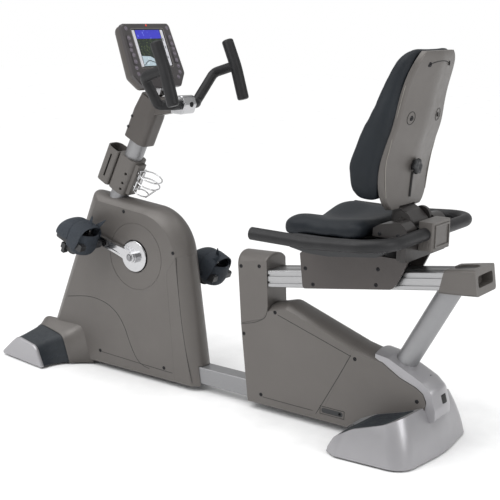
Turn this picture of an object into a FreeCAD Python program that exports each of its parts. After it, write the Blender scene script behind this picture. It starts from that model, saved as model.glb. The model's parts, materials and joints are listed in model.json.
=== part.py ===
import FreeCAD, Part
import math
import os

# Recumbent exercise bike, millimetres. +X points to the rear, +Y to the rider's right, +Z up.
# Positions along X are first written from the crank axis, then moved by MIDDLE_X so that the
# origin is under the middle of the whole machine, on the floor.

# ---- driving dimensions -------------------------------------------------------------------
FRONT_X = -519.0          # foremost point, on the front foot
REAR_X = 1184.2           # rearmost point, on the rail end cap
MIDDLE_X = -(FRONT_X + REAR_X) / 2

CRANK_Z = 407.0
CRANK_LENGTH = 175.0
CRANK_ANGLE = 164.0       # left crank arm, degrees from +X towards +Z
PEDAL_TILT = 22.0

SHROUD_HALF = 50.0        # half width of the flat sides of both shrouds
WALL = 3.0
GAP = 0.3                 # clearance between neighbouring shells

BEAM_BOTTOM, BEAM_TOP, BEAM_HALF = 24.0, 79.0, 28.0

MAST_RADIUS = 30.0
MAST_LEAN = math.radians(25.5)
MAST_FOOT_X = -352.0      # mast axis at the top of the beam

RAIL_ANGLE = math.radians(8.4)
RAIL_X, RAIL_Z = 516.0, 440.0      # upper edge of the rail at its visible front end
RAIL_HALF, RAIL_HEIGHT = 46.5, 51.0

STRUT_RADIUS = 31.0
STRUT_FOOT = (950.0, 218.0)
STRUT_HEAD = (1074.0, 447.0)

BAR_X, BAR_Z, BAR_RADIUS = 165.0, 902.0, 15.5

SEAT_HALF = 190.0
HANDLE_HALF, HANDLE_RADIUS = 274.0, 17.5
BACK_PIVOT = (958.0, 646.0)

V = FreeCAD.Vector
Y_AXIS = V(0, 1, 0)
os.makedirs("parts", exist_ok=True)


# ---- drawing helpers ------------------------------------------------------------------------
def on_y(y):
    """A map from an (x, z) outline to the plane at this y."""
    return lambda u, v: V(u, y, v)


def on_z(z):
    """A map from an (x, y) outline to the plane at this height."""
    return lambda u, v: V(u, v, z)


def on_x(x):
    """A map from a (y, z) outline to the plane at this x."""
    return lambda u, v: V(x, u, v)


def rounded_edges(points, place, closed=True):
    """Straight runs joined by tangent arcs; each point is (u, v) or (u, v, corner radius)."""
    corners = []
    last = len(points) - 1
    for index, point in enumerate(points):
        here = place(point[0], point[1])
        radius = point[2] if len(point) > 2 else 0.0
        if radius == 0 or (not closed and index in (0, last)):
            corners.append((here, None, here))
            continue
        before = place(*points[index - 1][:2])
        after = place(*points[(index + 1) % len(points)][:2])
        back = (before - here).normalize()
        ahead = (after - here).normalize()
        half = back.getAngle(ahead) / 2
        reach = radius / math.tan(half)
        middle = (back + ahead).normalize() * (radius / math.sin(half) - radius)
        corners.append((here + back * reach, here + middle, here + ahead * reach))
    edges = []
    for index, (start, middle, end) in enumerate(corners):
        if middle is not None:
            edges.append(Part.Arc(start, middle, end).toShape())
        if index < last or closed:
            following = corners[(index + 1) % len(corners)][0]
            if end.distanceToPoint(following) > 1e-4:
                edges.append(Part.makeLine(end, following))
    return edges


def wire(points, place):
    return Part.Wire(rounded_edges(points, place))


def plate(points, place, travel):
    """A closed outline pushed along the vector travel."""
    return Part.Face(wire(points, place)).extrude(travel)


def slab_y(points, y0, y1):
    return plate(points, on_y(y0), V(0, y1 - y0, 0))


def slab_z(points, z0, z1):
    return plate(points, on_z(z0), V(0, 0, z1 - z0))


def slab_x(points, x0, x1):
    return plate(points, on_x(x0), V(x1 - x0, 0, 0))


def box(x0, x1, y0, y1, z0, z1):
    return Part.makeBox(x1 - x0, y1 - y0, z1 - z0, V(x0, y0, z0))


def rod(start, end, radius):
    start, end = V(*start), V(*end)
    return Part.makeCylinder(radius, start.distanceToPoint(end), start, end - start)


def pipe(start, end, radius, bore):
    return rod(start, end, radius).cut(rod(start, end, bore))


def rod_y(x, z, y0, y1, radius):
    return Part.makeCylinder(radius, y1 - y0, V(x, y0, z), Y_AXIS)


def ring_y(x, z, y0, y1, radius, bore):
    return rod_y(x, z, y0, y1, radius).cut(rod_y(x, z, y0 - 1, y1 + 1, bore))


def loft(wires):
    return Part.makeLoft(wires, True, False)


def bent_tube(points, bend, radius):
    """A round tube along straight runs joined by arcs of radius bend."""
    nodes = [V(*p) for p in points]
    edges = []
    start = nodes[0]
    for before, here, after in zip(nodes, nodes[1:], nodes[2:]):
        back = (before - here).normalize()
        ahead = (after - here).normalize()
        half = back.getAngle(ahead) / 2
        reach = bend / math.tan(half)
        middle = (back + ahead).normalize() * (bend / math.sin(half) - bend)
        edges.append(Part.makeLine(start, here + back * reach))
        edges.append(Part.Arc(here + back * reach, here + middle, here + ahead * reach).toShape())
        start = here + ahead * reach
    edges.append(Part.makeLine(start, nodes[-1]))
    path = Part.Wire(edges)
    section = Part.Wire(Part.makeCircle(radius, nodes[0], nodes[1] - nodes[0]))
    return path.makePipeShell([section], True, False)


def joined(shapes):
    return shapes[0].fuse(shapes[1:]).removeSplitter()


def both_sides(shape):
    """The shape and its mirror image across the middle plane, as separate solids."""
    return Part.makeCompound([shape, mirrored(shape)])


def mirrored(shape):
    return shape.mirror(V(0, 0, 0), Y_AXIS)


def filleted(shape, radius, chosen):
    return shape.makeFillet(radius, [edge for edge in shape.Edges if chosen(edge)])


def runs_along(axis):
    """Chooses the straight edges along one axis."""
    def chosen(edge):
        if len(edge.Vertexes) < 2 or not isinstance(edge.Curve, Part.Line):
            return False
        return abs(abs(edge.Curve.Direction.dot(axis)) - 1) < 1e-6
    return chosen


def save(name, shape):
    shape = shape.copy()
    shape.translate(V(MIDDLE_X, 0, 0))
    if not shape.isValid():
        print("INVALID", name)
    shape.exportStep("parts/" + name + ".step")
    print(name, len(shape.Solids), round(shape.Volume / 1000), "cm3")


# ---- places on the mast and on the rail -----------------------------------------------------
def on_mast(along, out, y=0.0):
    """A point near the mast: along its axis from the beam, and out from the axis to the rear."""
    sin, cos = math.sin(MAST_LEAN), math.cos(MAST_LEAN)
    return (MAST_FOOT_X + along * sin + out * cos, y, BEAM_TOP + along * cos - out * sin)


def mast_piece(outline, start, end):
    """An (out, y) outline pushed along the mast axis."""
    place = lambda u, v: V(*on_mast(start, u, v))
    return plate(outline, place, V(*on_mast(end, 0)) - V(*on_mast(start, 0)))


def on_rail(along, up):
    sin, cos = math.sin(RAIL_ANGLE), math.cos(RAIL_ANGLE)
    return (RAIL_X + along * cos - up * sin, RAIL_Z + along * sin + up * cos)


def rail_piece(outline, start, end):
    """A (y, up) outline pushed along the rail."""
    def place(u, v):
        x, z = on_rail(start, v)
        return V(x, u, z)
    x0, z0 = on_rail(start, 0)
    x1, z1 = on_rail(end, 0)
    return plate(outline, place, V(x1 - x0, 0, z1 - z0))


MAST_LENGTH = 905.0
mast_solid = rod(on_mast(1.0, 0), on_mast(MAST_LENGTH, 0), MAST_RADIUS)
mast_clearance = rod(on_mast(-40, 0), on_mast(MAST_LENGTH + 20, 0), MAST_RADIUS + GAP)
strut_clearance = rod((STRUT_FOOT[0] - 60, 0, STRUT_FOOT[1] - 110),
                      (STRUT_HEAD[0] + 60, 0, STRUT_HEAD[1] + 111), STRUT_RADIUS + GAP)


# ---- frame ----------------------------------------------------------------------------------
def square_tube(x0, x1, y0, y1, z0, z1, axis):
    """A rectangular tube with 3 mm walls and rounded edges, open at the ends along axis."""
    outer = filleted(box(x0, x1, y0, y1, z0, z1), 5, runs_along(axis))
    grow = [0 if axis.dot(V(*unit)) else -WALL for unit in ((1, 0, 0), (0, 1, 0), (0, 0, 1))]
    inner = box(x0 - grow[0], x1 + grow[0], y0 - grow[1], y1 + grow[1], z0 - grow[2], z1 + grow[2])
    return outer.cut(inner)


COLUMN_X = (446.0, 500.0)


def base_frame():
    """Beam, front and rear cross tubes and the seat column, welded into one piece."""
    beam = square_tube(-404, 1022, -BEAM_HALF, BEAM_HALF, BEAM_BOTTOM, BEAM_TOP, V(1, 0, 0))
    front = square_tube(-424, -376, -150, 150, 24, 70, Y_AXIS)
    rear = square_tube(985, 1040, -172, 172, 24, 70, Y_AXIS)
    column = square_tube(COLUMN_X[0], COLUMN_X[1], -25, 25, BEAM_TOP - 2, 420, V(0, 0, 1))
    above_rail = [on_rail(-120, -RAIL_HEIGHT - 0.2), on_rail(60, -RAIL_HEIGHT - 0.2), (600, 520), (380, 520)]
    column = column.cut(slab_y(above_rail, -60, 60))
    return joined([beam, front, rear, column])


def levelling_feet():
    """Four rubber pads on threaded studs under the cross tubes."""
    feet = []
    for x, y in ((-400, 135), (1012, 155)):
        for side in (-1, 1):
            pad = Part.makeCone(21, 16, 12, V(x, side * y, 0))
            stud = rod((x, side * y, 12), (x, side * y, 23.7), 5)
            feet.append(pad.fuse(stud))
    return Part.makeCompound(feet)


WHEEL_X, WHEEL_Z, WHEEL_RADIUS = -462.0, 31.0, 24.0


def transport_wheels():
    """Two tyred wheels on a common axle under the nose, clear of the floor until the tail is lifted."""
    axle = rod_y(WHEEL_X, WHEEL_Z, -92, 92, 5)
    wheels = [axle]
    for side in (-1, 1):
        low, high = sorted((side * 66, side * 90))
        wheels.append(filleted(rod_y(WHEEL_X, WHEEL_Z, low, high, WHEEL_RADIUS), 4, lambda e: True))
    return joined(wheels)


FLYWHEEL_X, FLYWHEEL_Z, FLYWHEEL_RADIUS = 30.0, 206.0, 112.0
PULLEY_Y = (-33.0, -21.0)
PLATES_Y = ((-13.0, -8.0), (22.0, 27.0))
BEARING_RADIUS = 19.0
YOKE_PIVOT = (172.0, 150.0)


def drive_frame():
    """Two upright plates that carry the crank shell and the flywheel bearings."""
    outline = [(-100, BEAM_TOP), (200, BEAM_TOP), (196, 162, 30), (62, 405, 40), (30, 452, 30),
               (-60, 452, 20), (-178, 440), (-178, 405), (-70, 370, 40), (-118, 140, 25)]
    shell = ring_y(0, CRANK_Z, -15, 30, 26, BEARING_RADIUS + 0.05)
    plates = []
    for low, high in PLATES_Y:
        blank = slab_y(outline, low, high)
        blank = blank.cut(rod_y(0, CRANK_Z, low - 1, high + 1, 26.0))
        blank = blank.cut(rod_y(FLYWHEEL_X, FLYWHEEL_Z, low - 1, high + 1, BEARING_RADIUS + 0.05))
        for x, z, radius in ((95, 130, 24), (-60, 130, 24), (-75, 405, 18)):
            blank = blank.cut(rod_y(x, z, low - 1, high + 1, radius))
        plates.append(blank.cut(mast_clearance))
    spacers = [rod_y(x, z, PLATES_Y[0][1], PLATES_Y[1][0], 7) for x, z in ((-60, 335), (140, 96), (-88, 98))]
    pin = rod_y(YOKE_PIVOT[0], YOKE_PIVOT[1], PLATES_Y[0][1], PLATES_Y[1][0], 4)
    return joined([shell, pin] + plates + spacers)


def bearings():
    """Crank bearings in the shell and flywheel bearings in the plates."""
    rings = []
    for low in (-15, 20):
        rings.append(ring_y(0, CRANK_Z, low, low + 10, BEARING_RADIUS, 12.55))
    for low in (-14.5, 19.5):
        rings.append(ring_y(FLYWHEEL_X, FLYWHEEL_Z, low, low + 9, BEARING_RADIUS, 10.05))
    return Part.makeCompound(rings)


def mast_tube():
    low = V(*on_mast(1.0, 0))
    tube = mast_solid.cut(rod(on_mast(-10, 0), on_mast(MAST_LENGTH + 10, 0), MAST_RADIUS - WALL))
    under = box(low.x - 90, low.x + 90, -60, 60, low.z - 60, BEAM_TOP)
    return tube.cut(under)


def strut_tube():
    direction = V(STRUT_HEAD[0] - STRUT_FOOT[0], 0, STRUT_HEAD[1] - STRUT_FOOT[1]).normalize()
    foot = V(STRUT_FOOT[0], 0, STRUT_FOOT[1]) - direction * 150
    head = V(STRUT_HEAD[0], 0, STRUT_HEAD[1]) + direction * 60
    tube = pipe(foot, head, STRUT_RADIUS, STRUT_RADIUS - WALL)
    tube = tube.cut(box(700, 1100, -80, 80, -60, BEAM_TOP))
    above = [on_rail(300, -RAIL_HEIGHT - 0.3), on_rail(760, -RAIL_HEIGHT - 0.3), (1300, 700), (900, 700)]
    return tube.cut(slab_y(above, -90, 90))


RAIL_START, RAIL_END = -78.0, 630.0


def seat_rail():
    """Aluminium extrusion: box section with two grooves in the top and one in each side."""
    section = [(-RAIL_HALF, -RAIL_HEIGHT, 4), (RAIL_HALF, -RAIL_HEIGHT, 4), (RAIL_HALF, 0, 4), (-RAIL_HALF, 0, 4)]
    rail = rail_piece(section, RAIL_START, RAIL_END)
    for low, high in ((-34, -4), (4, 34)):
        cavity = [(low, -RAIL_HEIGHT + 5, 3), (high, -RAIL_HEIGHT + 5, 3), (high, -10, 3), (low, -10, 3)]
        rail = rail.cut(rail_piece(cavity, RAIL_START - 1, RAIL_END + 1))
    for centre in (-24, 24):
        groove = [(centre - 4, -4), (centre + 4, -4), (centre + 4, 2), (centre - 4, 2)]
        rail = rail.cut(rail_piece(groove, RAIL_START - 1, RAIL_END + 1))
    for side in (-1, 1):
        for level in (-15, -36):
            groove = [(side * (RAIL_HALF - 4), level - 3.5), (side * (RAIL_HALF + 2), level - 3.5),
                      (side * (RAIL_HALF + 2), level + 3.5), (side * (RAIL_HALF - 4), level + 3.5)]
            rail = rail.cut(rail_piece(groove, RAIL_START - 1, RAIL_END + 1))
    for step in range(9):
        x, z = on_rail(150 + step * 30, 5)
        rail = rail.cut(rod((x, 0, z), (x + 3, 0, z - 20), 4.5))
    return rail


def rail_end_cap():
    """Moulded cap over the rear end of the rail, with a hand-hold in its rear face."""
    def section(along, half, top, bottom):
        def place(u, v):
            x, z = on_rail(along, v)
            return V(x, u, z)
        return wire([(-half, bottom, 9), (half, bottom, 9), (half, top, 7), (-half, top, 7)], place)
    outer = loft([section(538, 53, 4, -56), section(600, 57, 6, -61), section(666, 62, 6.5, -64)])
    lower_front = [on_rail(500, -80), on_rail(543, -80), on_rail(582, 20), on_rail(500, 20)]
    outer = outer.cut(slab_y(lower_front, -90, 90))
    bore = [(-RAIL_HALF - 0.2, -RAIL_HEIGHT - 0.2), (RAIL_HALF + 0.2, -RAIL_HEIGHT - 0.2),
            (RAIL_HALF + 0.2, 0.2), (-RAIL_HALF - 0.2, 0.2)]
    cap = outer.cut(rail_piece(bore, 500, RAIL_END + 0.3))
    hand_hold = [(-46, -43, 8), (46, -43, 8), (46, -11, 8), (-46, -11, 8)]
    cap = cap.cut(rail_piece(hand_hold, RAIL_END + 4, 700))
    return cap.cut(strut_clearance)


# ---- feet -----------------------------------------------------------------------------------
LEG_SWEEP = math.radians(8.0)


def leg_section(out, stretch, lift, rear_shift, inset=0.0):
    """Section of the near front foot, out millimetres from the middle plane."""
    outline = [(-130, 5, 6), (-62, 60, 30), (-28, 84, 40), (75, 72, 34), (112, 5, 4)]
    points = []
    for u, v, radius in outline:
        u = u * stretch + (rear_shift if u > 50 else 0)
        v = v * lift if v > 10 else v
        centre_u = u + (inset if u < 0 else -inset) * 1.2
        centre_v = v - inset if v > 10 else v - (1 if inset else 0)
        points.append((centre_u, centre_v, max(radius - inset, 2)))
    centre_x = -400 + (165 - out) * math.tan(LEG_SWEEP)

    def place(u, v):
        return V(centre_x + u * math.cos(LEG_SWEEP), -out - u * math.sin(LEG_SWEEP), v)
    return wire(points, place)


def front_foot_cover(side):
    outer = loft([leg_section(167, 1.0, 1.0, 0), leg_section(110, 1.0, 1.18, 2), leg_section(44, 1.03, 1.48, 40)])
    inner = loft([leg_section(168, 1.0, 1.0, 0, WALL), leg_section(110, 1.0, 1.18, 2, WALL),
                  leg_section(43, 1.03, 1.48, 40, WALL)])
    cover = outer.cut(inner)
    cover = cover.cut(rod_y(WHEEL_X, WHEEL_Z, -95, -40, WHEEL_RADIUS + 4))
    return cover if side < 0 else mirrored(cover)


def front_end_cap():
    inner = leg_section(167.6, 1.0, 1.0, 0)
    middle = leg_section(173, 1.0, 1.0, 0)
    outer = leg_section(177, 0.97, 0.97, 0)
    return loft([inner, middle]).fuse(loft([middle, outer])).removeSplitter()


REAR_FOOT_HALF = 216.0


def rear_foot_plan(z, inset, tip):
    """Plan outline of the rear foot: two tips point forward, the heel is rounded."""
    half = REAR_FOOT_HALF - inset
    heel = 1096 - inset * 1.15
    points = [(tip, -half + 22, 10), (tip + 40, -half, 30), (heel - 26, -half + 14, 62), (heel, 0, 500),
              (heel - 26, half - 14, 62), (tip + 40, half, 30), (tip, half - 22, 10), (tip + 62, 0, 60)]
    return wire(points, on_z(z))


def rear_foot_blank(inset, lower=0.0):
    """The drafted body of the rear foot under its sloping top."""
    body = loft([rear_foot_plan(5 + lower, inset, 824 + inset), rear_foot_plan(70, 14 + inset, 842 + inset),
                 rear_foot_plan(150, 44 + inset, 880 + inset)])
    top = [(800, -40), (1130, -40), (1130, 90 - inset), (1092, 128 - inset, 20), (1056, 142 - inset, 50),
           (988, 112 - inset, 160), (905, 86 - inset, 90), (850, 52 - inset, 40), (820, 0 - inset)]
    return body.common(slab_y(top, -260, 260))


TAIL_PROFILE = [(806, 22), (852, 60, 30), (900, 84, 40), (1030, 114, 8), (1046, 122, 14), (1052, 152, 24),
                (1040, 174, 16), (1017, 188, 40), (968, 205, 40), (915, 234, 14)]


def saddle_blank(inset):
    """Hump over the beam's tail that carries the foot of the strut."""
    half = 47 - inset
    profile = [(888, 268), (930, 262, 20), (996, 232, 40), (1045, 213, 30), (1072, 190, 22), (1087, 140, 30),
               (1088, 112, 10), (1064, 102), (1064, 60), (888, 60)]
    sides = []
    for y, drop in ((-half, 9), (0, 0), (half, 9)):
        shrink = [(u - (drop + inset if u > 1000 else 0), v - (drop + inset if v > 100 else 0), *r)
                  for u, v, *r in profile]
        sides.append(wire(shrink, on_y(y)))
    return loft(sides)


def tail_clearance(grow):
    """Space that the tail of the rear shroud fills, up to the beam's end."""
    body = slab_y(TAIL_PROFILE + [(880, 252), (806, 268)], -SHROUD_HALF - 1 - grow, SHROUD_HALF + 1 + grow)
    return body


def rear_foot_cover():
    """Silver rear foot: crescent shell with the saddle moulded on top."""
    outer = rear_foot_blank(0).fuse(saddle_blank(0))
    inner = rear_foot_blank(WALL, -6).fuse(saddle_blank(WALL))
    shell = outer.cut(inner)
    shell = shell.cut(tail_clearance(0.6)).cut(rear_blank(-0.6))
    shell = shell.cut(strut_clearance)
    shell = shell.cut(box(780, 1048, -BEAM_HALF - 1, BEAM_HALF + 1, 0, BEAM_TOP + 1))
    shell = shell.cut(insert_space(0.0))
    slot = slab_y([(1086, 150), (1112, 150), (1112, 176), (1078, 178)], -20, 20)
    shell = shell.cut(slot)
    return largest(shell)


def insert_space(gap):
    """Recess for the dark treads on both sides of the tail."""
    plan = [(838 + gap, -182 + gap, 10), (880, -192 + gap, 20), (1000 - gap, -172 + gap, 40), (1030 - gap, -60, 20),
            (1012 - gap, -53 - gap), (862 + gap, -53 - gap, 20)]
    near = slab_z(plan, 0, 200).common(rear_foot_blank(0).cut(rear_foot_blank(4.5 - gap)))
    return both_sides(near)


def rear_foot_inserts():
    return insert_space(0.4)


# ---- front shroud ---------------------------------------------------------------------------
def shroud_section(y, bulge, inset=0.0):
    """Side outline of the front shroud; bulge moves the nose, the crown and the tail outwards."""
    nose = 35 * bulge - inset
    crown = 27 * bulge - inset
    tail = 38 * bulge - inset
    points = [(-402 - nose, 17), (-166 - nose * 1.1, 571 + crown, 16), (147 + tail, 538 + crown, 150),
              (231 + tail, 17)]
    return wire(points, on_y(y))


def shroud_blank(inset):
    half = SHROUD_HALF - inset
    return loft([shroud_section(-half, 0, inset), shroud_section(-half * 0.62, 0.68, inset),
                 shroud_section(0, 1, inset), shroud_section(half * 0.62, 0.68, inset),
                 shroud_section(half, 0, inset)])


def spine_region(grow):
    """Rear strip of the front shroud, behind the seam."""
    outline = [(171 - grow, -20), (132 - grow, 372, 30), (172 - grow, 428 + grow, 10), (320, 462 + grow), (320, -20)]
    return slab_y(outline, -80, 80)


DISC_RADIUS = 51.0


def front_shroud():
    shell = shroud_blank(0).cut(shroud_blank(WALL))
    shell = shell.cut(mast_clearance)
    shell = shell.cut(box(-600, 400, -BEAM_HALF - 1.5, BEAM_HALF + 1.5, 0, BEAM_TOP + 1.5))
    shell = shell.cut(rod_y(0, CRANK_Z, -90, 90, DISC_RADIUS + 3))
    shell = shell.cut(box(-425, -375, -160, 160, 10, 71))
    groove = ring_y(3, CRANK_Z, -SHROUD_HALF - 2, -SHROUD_HALF + 1.0, 109.5, 107.5)
    shell = shell.cut(both_sides(groove))
    foot = loft([leg_section(110, 1.0, 1.18, 2), leg_section(44, 1.03, 1.48, 40)])
    foot_space = foot.fuse(mirrored(foot))
    return shell.cut(foot_space)


def largest(shape):
    return max(shape.Solids, key=lambda solid: solid.Volume)


def split_left_right(shell):
    left = shell.common(box(-700, 1300, -120, -GAP / 2, -10, 800))
    right = shell.common(box(-700, 1300, GAP / 2, 120, -10, 800))
    return largest(left), largest(right)


# ---- drive ----------------------------------------------------------------------------------
def crank_point(angle, radius):
    return (radius * math.cos(angle), CRANK_Z + radius * math.sin(angle))


ARM_Y = (55.0, 71.0)


def crank_arm(side):
    """Polished arm forged in one piece with its round hub disc."""
    angle = math.radians(CRANK_ANGLE if side < 0 else CRANK_ANGLE - 180)
    across = angle + math.pi / 2
    corners = []
    for along, half, radius in ((-22, 20, 18), (60, 14.5, 60), (CRANK_LENGTH + 15, 14, 13.5)):
        corners.append((along, half, radius))
    outline = [(a, -h, r) for a, h, r in corners] + [(a, h, r) for a, h, r in reversed(corners)]

    def swing(points, y0, y1):
        turned = []
        for a, h, *rest in points:
            x, z = crank_point(angle, a)
            turned.append((x + h * math.cos(across), z + h * math.sin(across), *rest))
        return slab_y(turned, y0, y1)

    low, high = sorted((side * ARM_Y[0], side * ARM_Y[1]))
    arm = swing(outline, low, high)
    face0, face1 = sorted((side * (ARM_Y[1] - 3), side * (ARM_Y[1] + 1)))
    channel = [(44, -8, 5), (146, -6.5, 5), (146, 6.5, 5), (44, 8, 5)]
    arm = arm.cut(swing(channel, face0, face1))
    disc0, disc1 = sorted((side * 45, side * 56))
    disc = filleted(rod_y(0, CRANK_Z, disc0, disc1, DISC_RADIUS), 3, lambda e: True)
    hub0, hub1 = sorted((side * 50, side * 75))
    hub = rod_y(0, CRANK_Z, hub0, hub1, 17)
    x, z = crank_point(angle, CRANK_LENGTH)
    spindle0, spindle1 = sorted((side * 40, side * 90))
    body = joined([disc, arm, hub])
    body = body.cut(rod_y(x, z, spindle0, spindle1, 7.05))
    return body.cut(rod_y(0, CRANK_Z, *sorted((side * 40, side * 68)), 12.05))


def crank_axle():
    """Stepped axle with the pulley flange and a bolt in each end."""
    axle = rod_y(0, CRANK_Z, -44, 44, 12.5).fuse(rod_y(0, CRANK_Z, -67.8, 67.8, 12.0))
    flange = rod_y(0, CRANK_Z, PULLEY_Y[1] + 0.2, -16, 30)
    return joined([axle, flange])


PULLEY_RADIUS, SMALL_PULLEY_RADIUS = 112.0, 22.4


def drive_pulley():
    low, high = PULLEY_Y
    wheel = rod_y(0, CRANK_Z, low, high, PULLEY_RADIUS).cut(rod_y(0, CRANK_Z, low - 1, high + 1, 12.55))
    wheel = wheel.cut(ring_y(0, CRANK_Z, low - 1, low + 4, 98, 34)).cut(ring_y(0, CRANK_Z, high - 4, high + 1, 98, 34))
    for number in range(6):
        x, z = crank_point(math.radians(60 * number + 15), 66)
        wheel = wheel.cut(rod_y(x, z, low - 1, high + 1, 17))
    return wheel


def flywheel():
    """Cast flywheel, its shaft and the small belt pulley, pressed together into one rotor."""
    rim = ring_y(FLYWHEEL_X, FLYWHEEL_Z, -5, 17, FLYWHEEL_RADIUS, 84)
    web = rod_y(FLYWHEEL_X, FLYWHEEL_Z, 2, 10, 86)
    for number in range(5):
        angle = math.radians(72 * number)
        hole = rod_y(FLYWHEEL_X + 56 * math.cos(angle), FLYWHEEL_Z + 56 * math.sin(angle), 0, 12, 15)
        web = web.cut(hole)
    hub = rod_y(FLYWHEEL_X, FLYWHEEL_Z, -5, 17, 24)
    shaft = rod_y(FLYWHEEL_X, FLYWHEEL_Z, PULLEY_Y[0] - 3, 32, 10)
    small = rod_y(FLYWHEEL_X, FLYWHEEL_Z, PULLEY_Y[0], PULLEY_Y[1] + 4, SMALL_PULLEY_RADIUS)
    return joined([rim, web, hub, shaft, small])


def drive_belt():
    """Flat belt round both pulleys."""
    span = V(FLYWHEEL_X, 0, FLYWHEEL_Z - CRANK_Z)
    turn = math.atan2(span.z, span.x)

    def loop(extra):
        big, small = PULLEY_RADIUS + extra, SMALL_PULLEY_RADIUS + extra
        lean = math.acos((big - small) / span.Length)
        spots = []
        for centre, radius in (((0, CRANK_Z), big), ((FLYWHEEL_X, FLYWHEEL_Z), small)):
            spots.append([(centre[0] + radius * math.cos(turn + a), centre[1] + radius * math.sin(turn + a))
                          for a in (lean, -lean)])
        far_big = (big * math.cos(turn + math.pi), CRANK_Z + big * math.sin(turn + math.pi))
        far_small = (FLYWHEEL_X + small * math.cos(turn), FLYWHEEL_Z + small * math.sin(turn))
        place = on_y(PULLEY_Y[0] + 1)
        point = lambda spot: place(*spot)
        return Part.Wire([Part.Arc(point(spots[0][0]), point(far_big), point(spots[0][1])).toShape(),
                          Part.makeLine(point(spots[0][1]), point(spots[1][1])),
                          Part.Arc(point(spots[1][1]), point(far_small), point(spots[1][0])).toShape(),
                          Part.makeLine(point(spots[1][0]), point(spots[0][0]))])
    across = V(0, PULLEY_Y[1] - PULLEY_Y[0] - 2, 0)
    return Part.Face(loop(2.6)).extrude(across).cut(Part.Face(loop(0.3)).extrude(across))


def magnet_yoke():
    """Swinging arm that carries brake magnets round the rim of the flywheel."""
    inner, outer = FLYWHEEL_RADIUS + 3, FLYWHEEL_RADIUS + 15
    arc = ring_y(FLYWHEEL_X, FLYWHEEL_Z, -4, 16, outer, inner)
    wedge = slab_y([(FLYWHEEL_X, FLYWHEEL_Z), (FLYWHEEL_X + 210, FLYWHEEL_Z - 78), (FLYWHEEL_X + 210, FLYWHEEL_Z + 120)], -10, 20)
    arc = arc.common(wedge)
    ear = rod_y(YOKE_PIVOT[0], YOKE_PIVOT[1], -4, 16, 9)
    link = slab_y([(136, 162), (148, 180), (178, 156), (168, 142)], -4, 16)
    yoke = joined([arc, link, ear])
    return yoke.cut(rod_y(YOKE_PIVOT[0], YOKE_PIVOT[1], -6, 18, 4.05))


# ---- pedals ---------------------------------------------------------------------------------
PEDAL_Y = (80.0, 176.0)


def pedal_pose(shape, side):
    """Turns a pedal piece by its tilt and carries it from the origin to its spindle."""
    angle = math.radians(CRANK_ANGLE if side < 0 else CRANK_ANGLE - 180)
    x, z = crank_point(angle, CRANK_LENGTH)
    shape = shape if side < 0 else mirrored(shape)
    shape.rotate(V(0, 0, 0), Y_AXIS, PEDAL_TILT)
    shape.translate(V(x, 0, z))
    return shape


def pedal_body():
    """Platform pedal with raised treads and a round weighted belly, drawn for the left side."""
    low, high = -PEDAL_Y[1], -PEDAL_Y[0]
    deck = filleted(box(-56, 56, low, high, -13, 11), 6, runs_along(Y_AXIS))
    deck = deck.cut(box(-26, 26, low + 14, high - 14, 4, 20))
    belly = rod_y(4, -12, low + 16, high - 16, 34).common(box(-40, 50, low, high, -60, -8))
    treads = []
    for number in range(5):
        y = low + 13 + number * 17.5
        for x in (-52, 30):
            treads.append(box(x, x + 22, y - 4, y + 4, 10.5, 14))
    body = joined([deck, belly] + treads)
    return body.cut(rod_y(0, 0, low + 8, high + 1, 8.05))


def pedal_strap():
    """Broad strap that arches over the foot from one side of the pedal to the other."""
    middle = -(PEDAL_Y[0] + PEDAL_Y[1]) / 2
    half = (PEDAL_Y[1] - PEDAL_Y[0]) / 2 + 0.4

    def arch(grow):
        left, right = middle - half - grow, middle + half + grow
        return [(left, -17), (left, 34, 30), (left + 26, 62 + grow, 30), (right - 26, 62 + grow, 30),
                (right, 34, 30), (right, -17)]
    outer = slab_x(arch(3.2), -30, 22).cut(slab_x(arch(0), -31, 23))
    return outer.cut(rod_y(0, 0, middle, -60, 8.6))


def pedal_spindles():
    spindles = []
    for side in (-1, 1):
        angle = math.radians(CRANK_ANGLE if side < 0 else CRANK_ANGLE - 180)
        x, z = crank_point(angle, CRANK_LENGTH)
        thread = rod_y(x, z, *sorted((side * (ARM_Y[0] + 1), side * (ARM_Y[1] + 1))), 7.0)
        collar = rod_y(x, z, *sorted((side * (ARM_Y[1] + 0.3), side * (PEDAL_Y[0] - 4.4))), 12)
        shaft = rod_y(x, z, *sorted((side * (ARM_Y[1] + 1), side * (PEDAL_Y[1] - 12))), 8.0)
        spindles.append(joined([thread, collar, shaft]))
    return Part.makeCompound(spindles)


# ---- mast fittings --------------------------------------------------------------------------
def mast_collar():
    """Sleeve clamped round the mast, with a boss behind it for the bottle cage."""
    sleeve = mast_piece([(-37.5, -36, 22), (-37.5, 36, 22), (36, 37, 22), (36, -37, 22)], 588, 712)
    boss = mast_piece([(30, -22, 5), (48, -19, 6), (48, 19, 6), (30, 22, 5)], 596, 704)
    collar = joined([sleeve, boss]).cut(mast_clearance)
    for along in (606, 628, 662):
        hole = rod(on_mast(along, 20, -60), on_mast(along, 20, -22), 4.5)
        collar = collar.cut(hole)
    return collar


def accessory_box():
    """Open-topped pocket in front of the mast, with a slot in its near side."""
    outline = [(-96, -30, 22), (-96, 30, 22), (-38, 34, 10), (-38, -34, 10)]
    inner = [(-92, -26, 19), (-92, 26, 19), (-41.5, 30, 8), (-41.5, -30, 8)]
    pocket = mast_piece(outline, 584, 708).cut(mast_piece(inner, 589, 720))
    slot = mast_piece([(-66, -50), (-59, -50), (-59, -20), (-66, -20)], 606, 688)
    return pocket.cut(slot)


def torus_on_mast(along, out, radius, wire_radius):
    axis = V(*on_mast(1, 0)) - V(*on_mast(0, 0))
    return Part.makeTorus(radius, wire_radius, V(*on_mast(along, out)), axis)


CAGE_OUT, CAGE_RADIUS, CAGE_WIRE = 92.0, 38.0, 2.2


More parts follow.
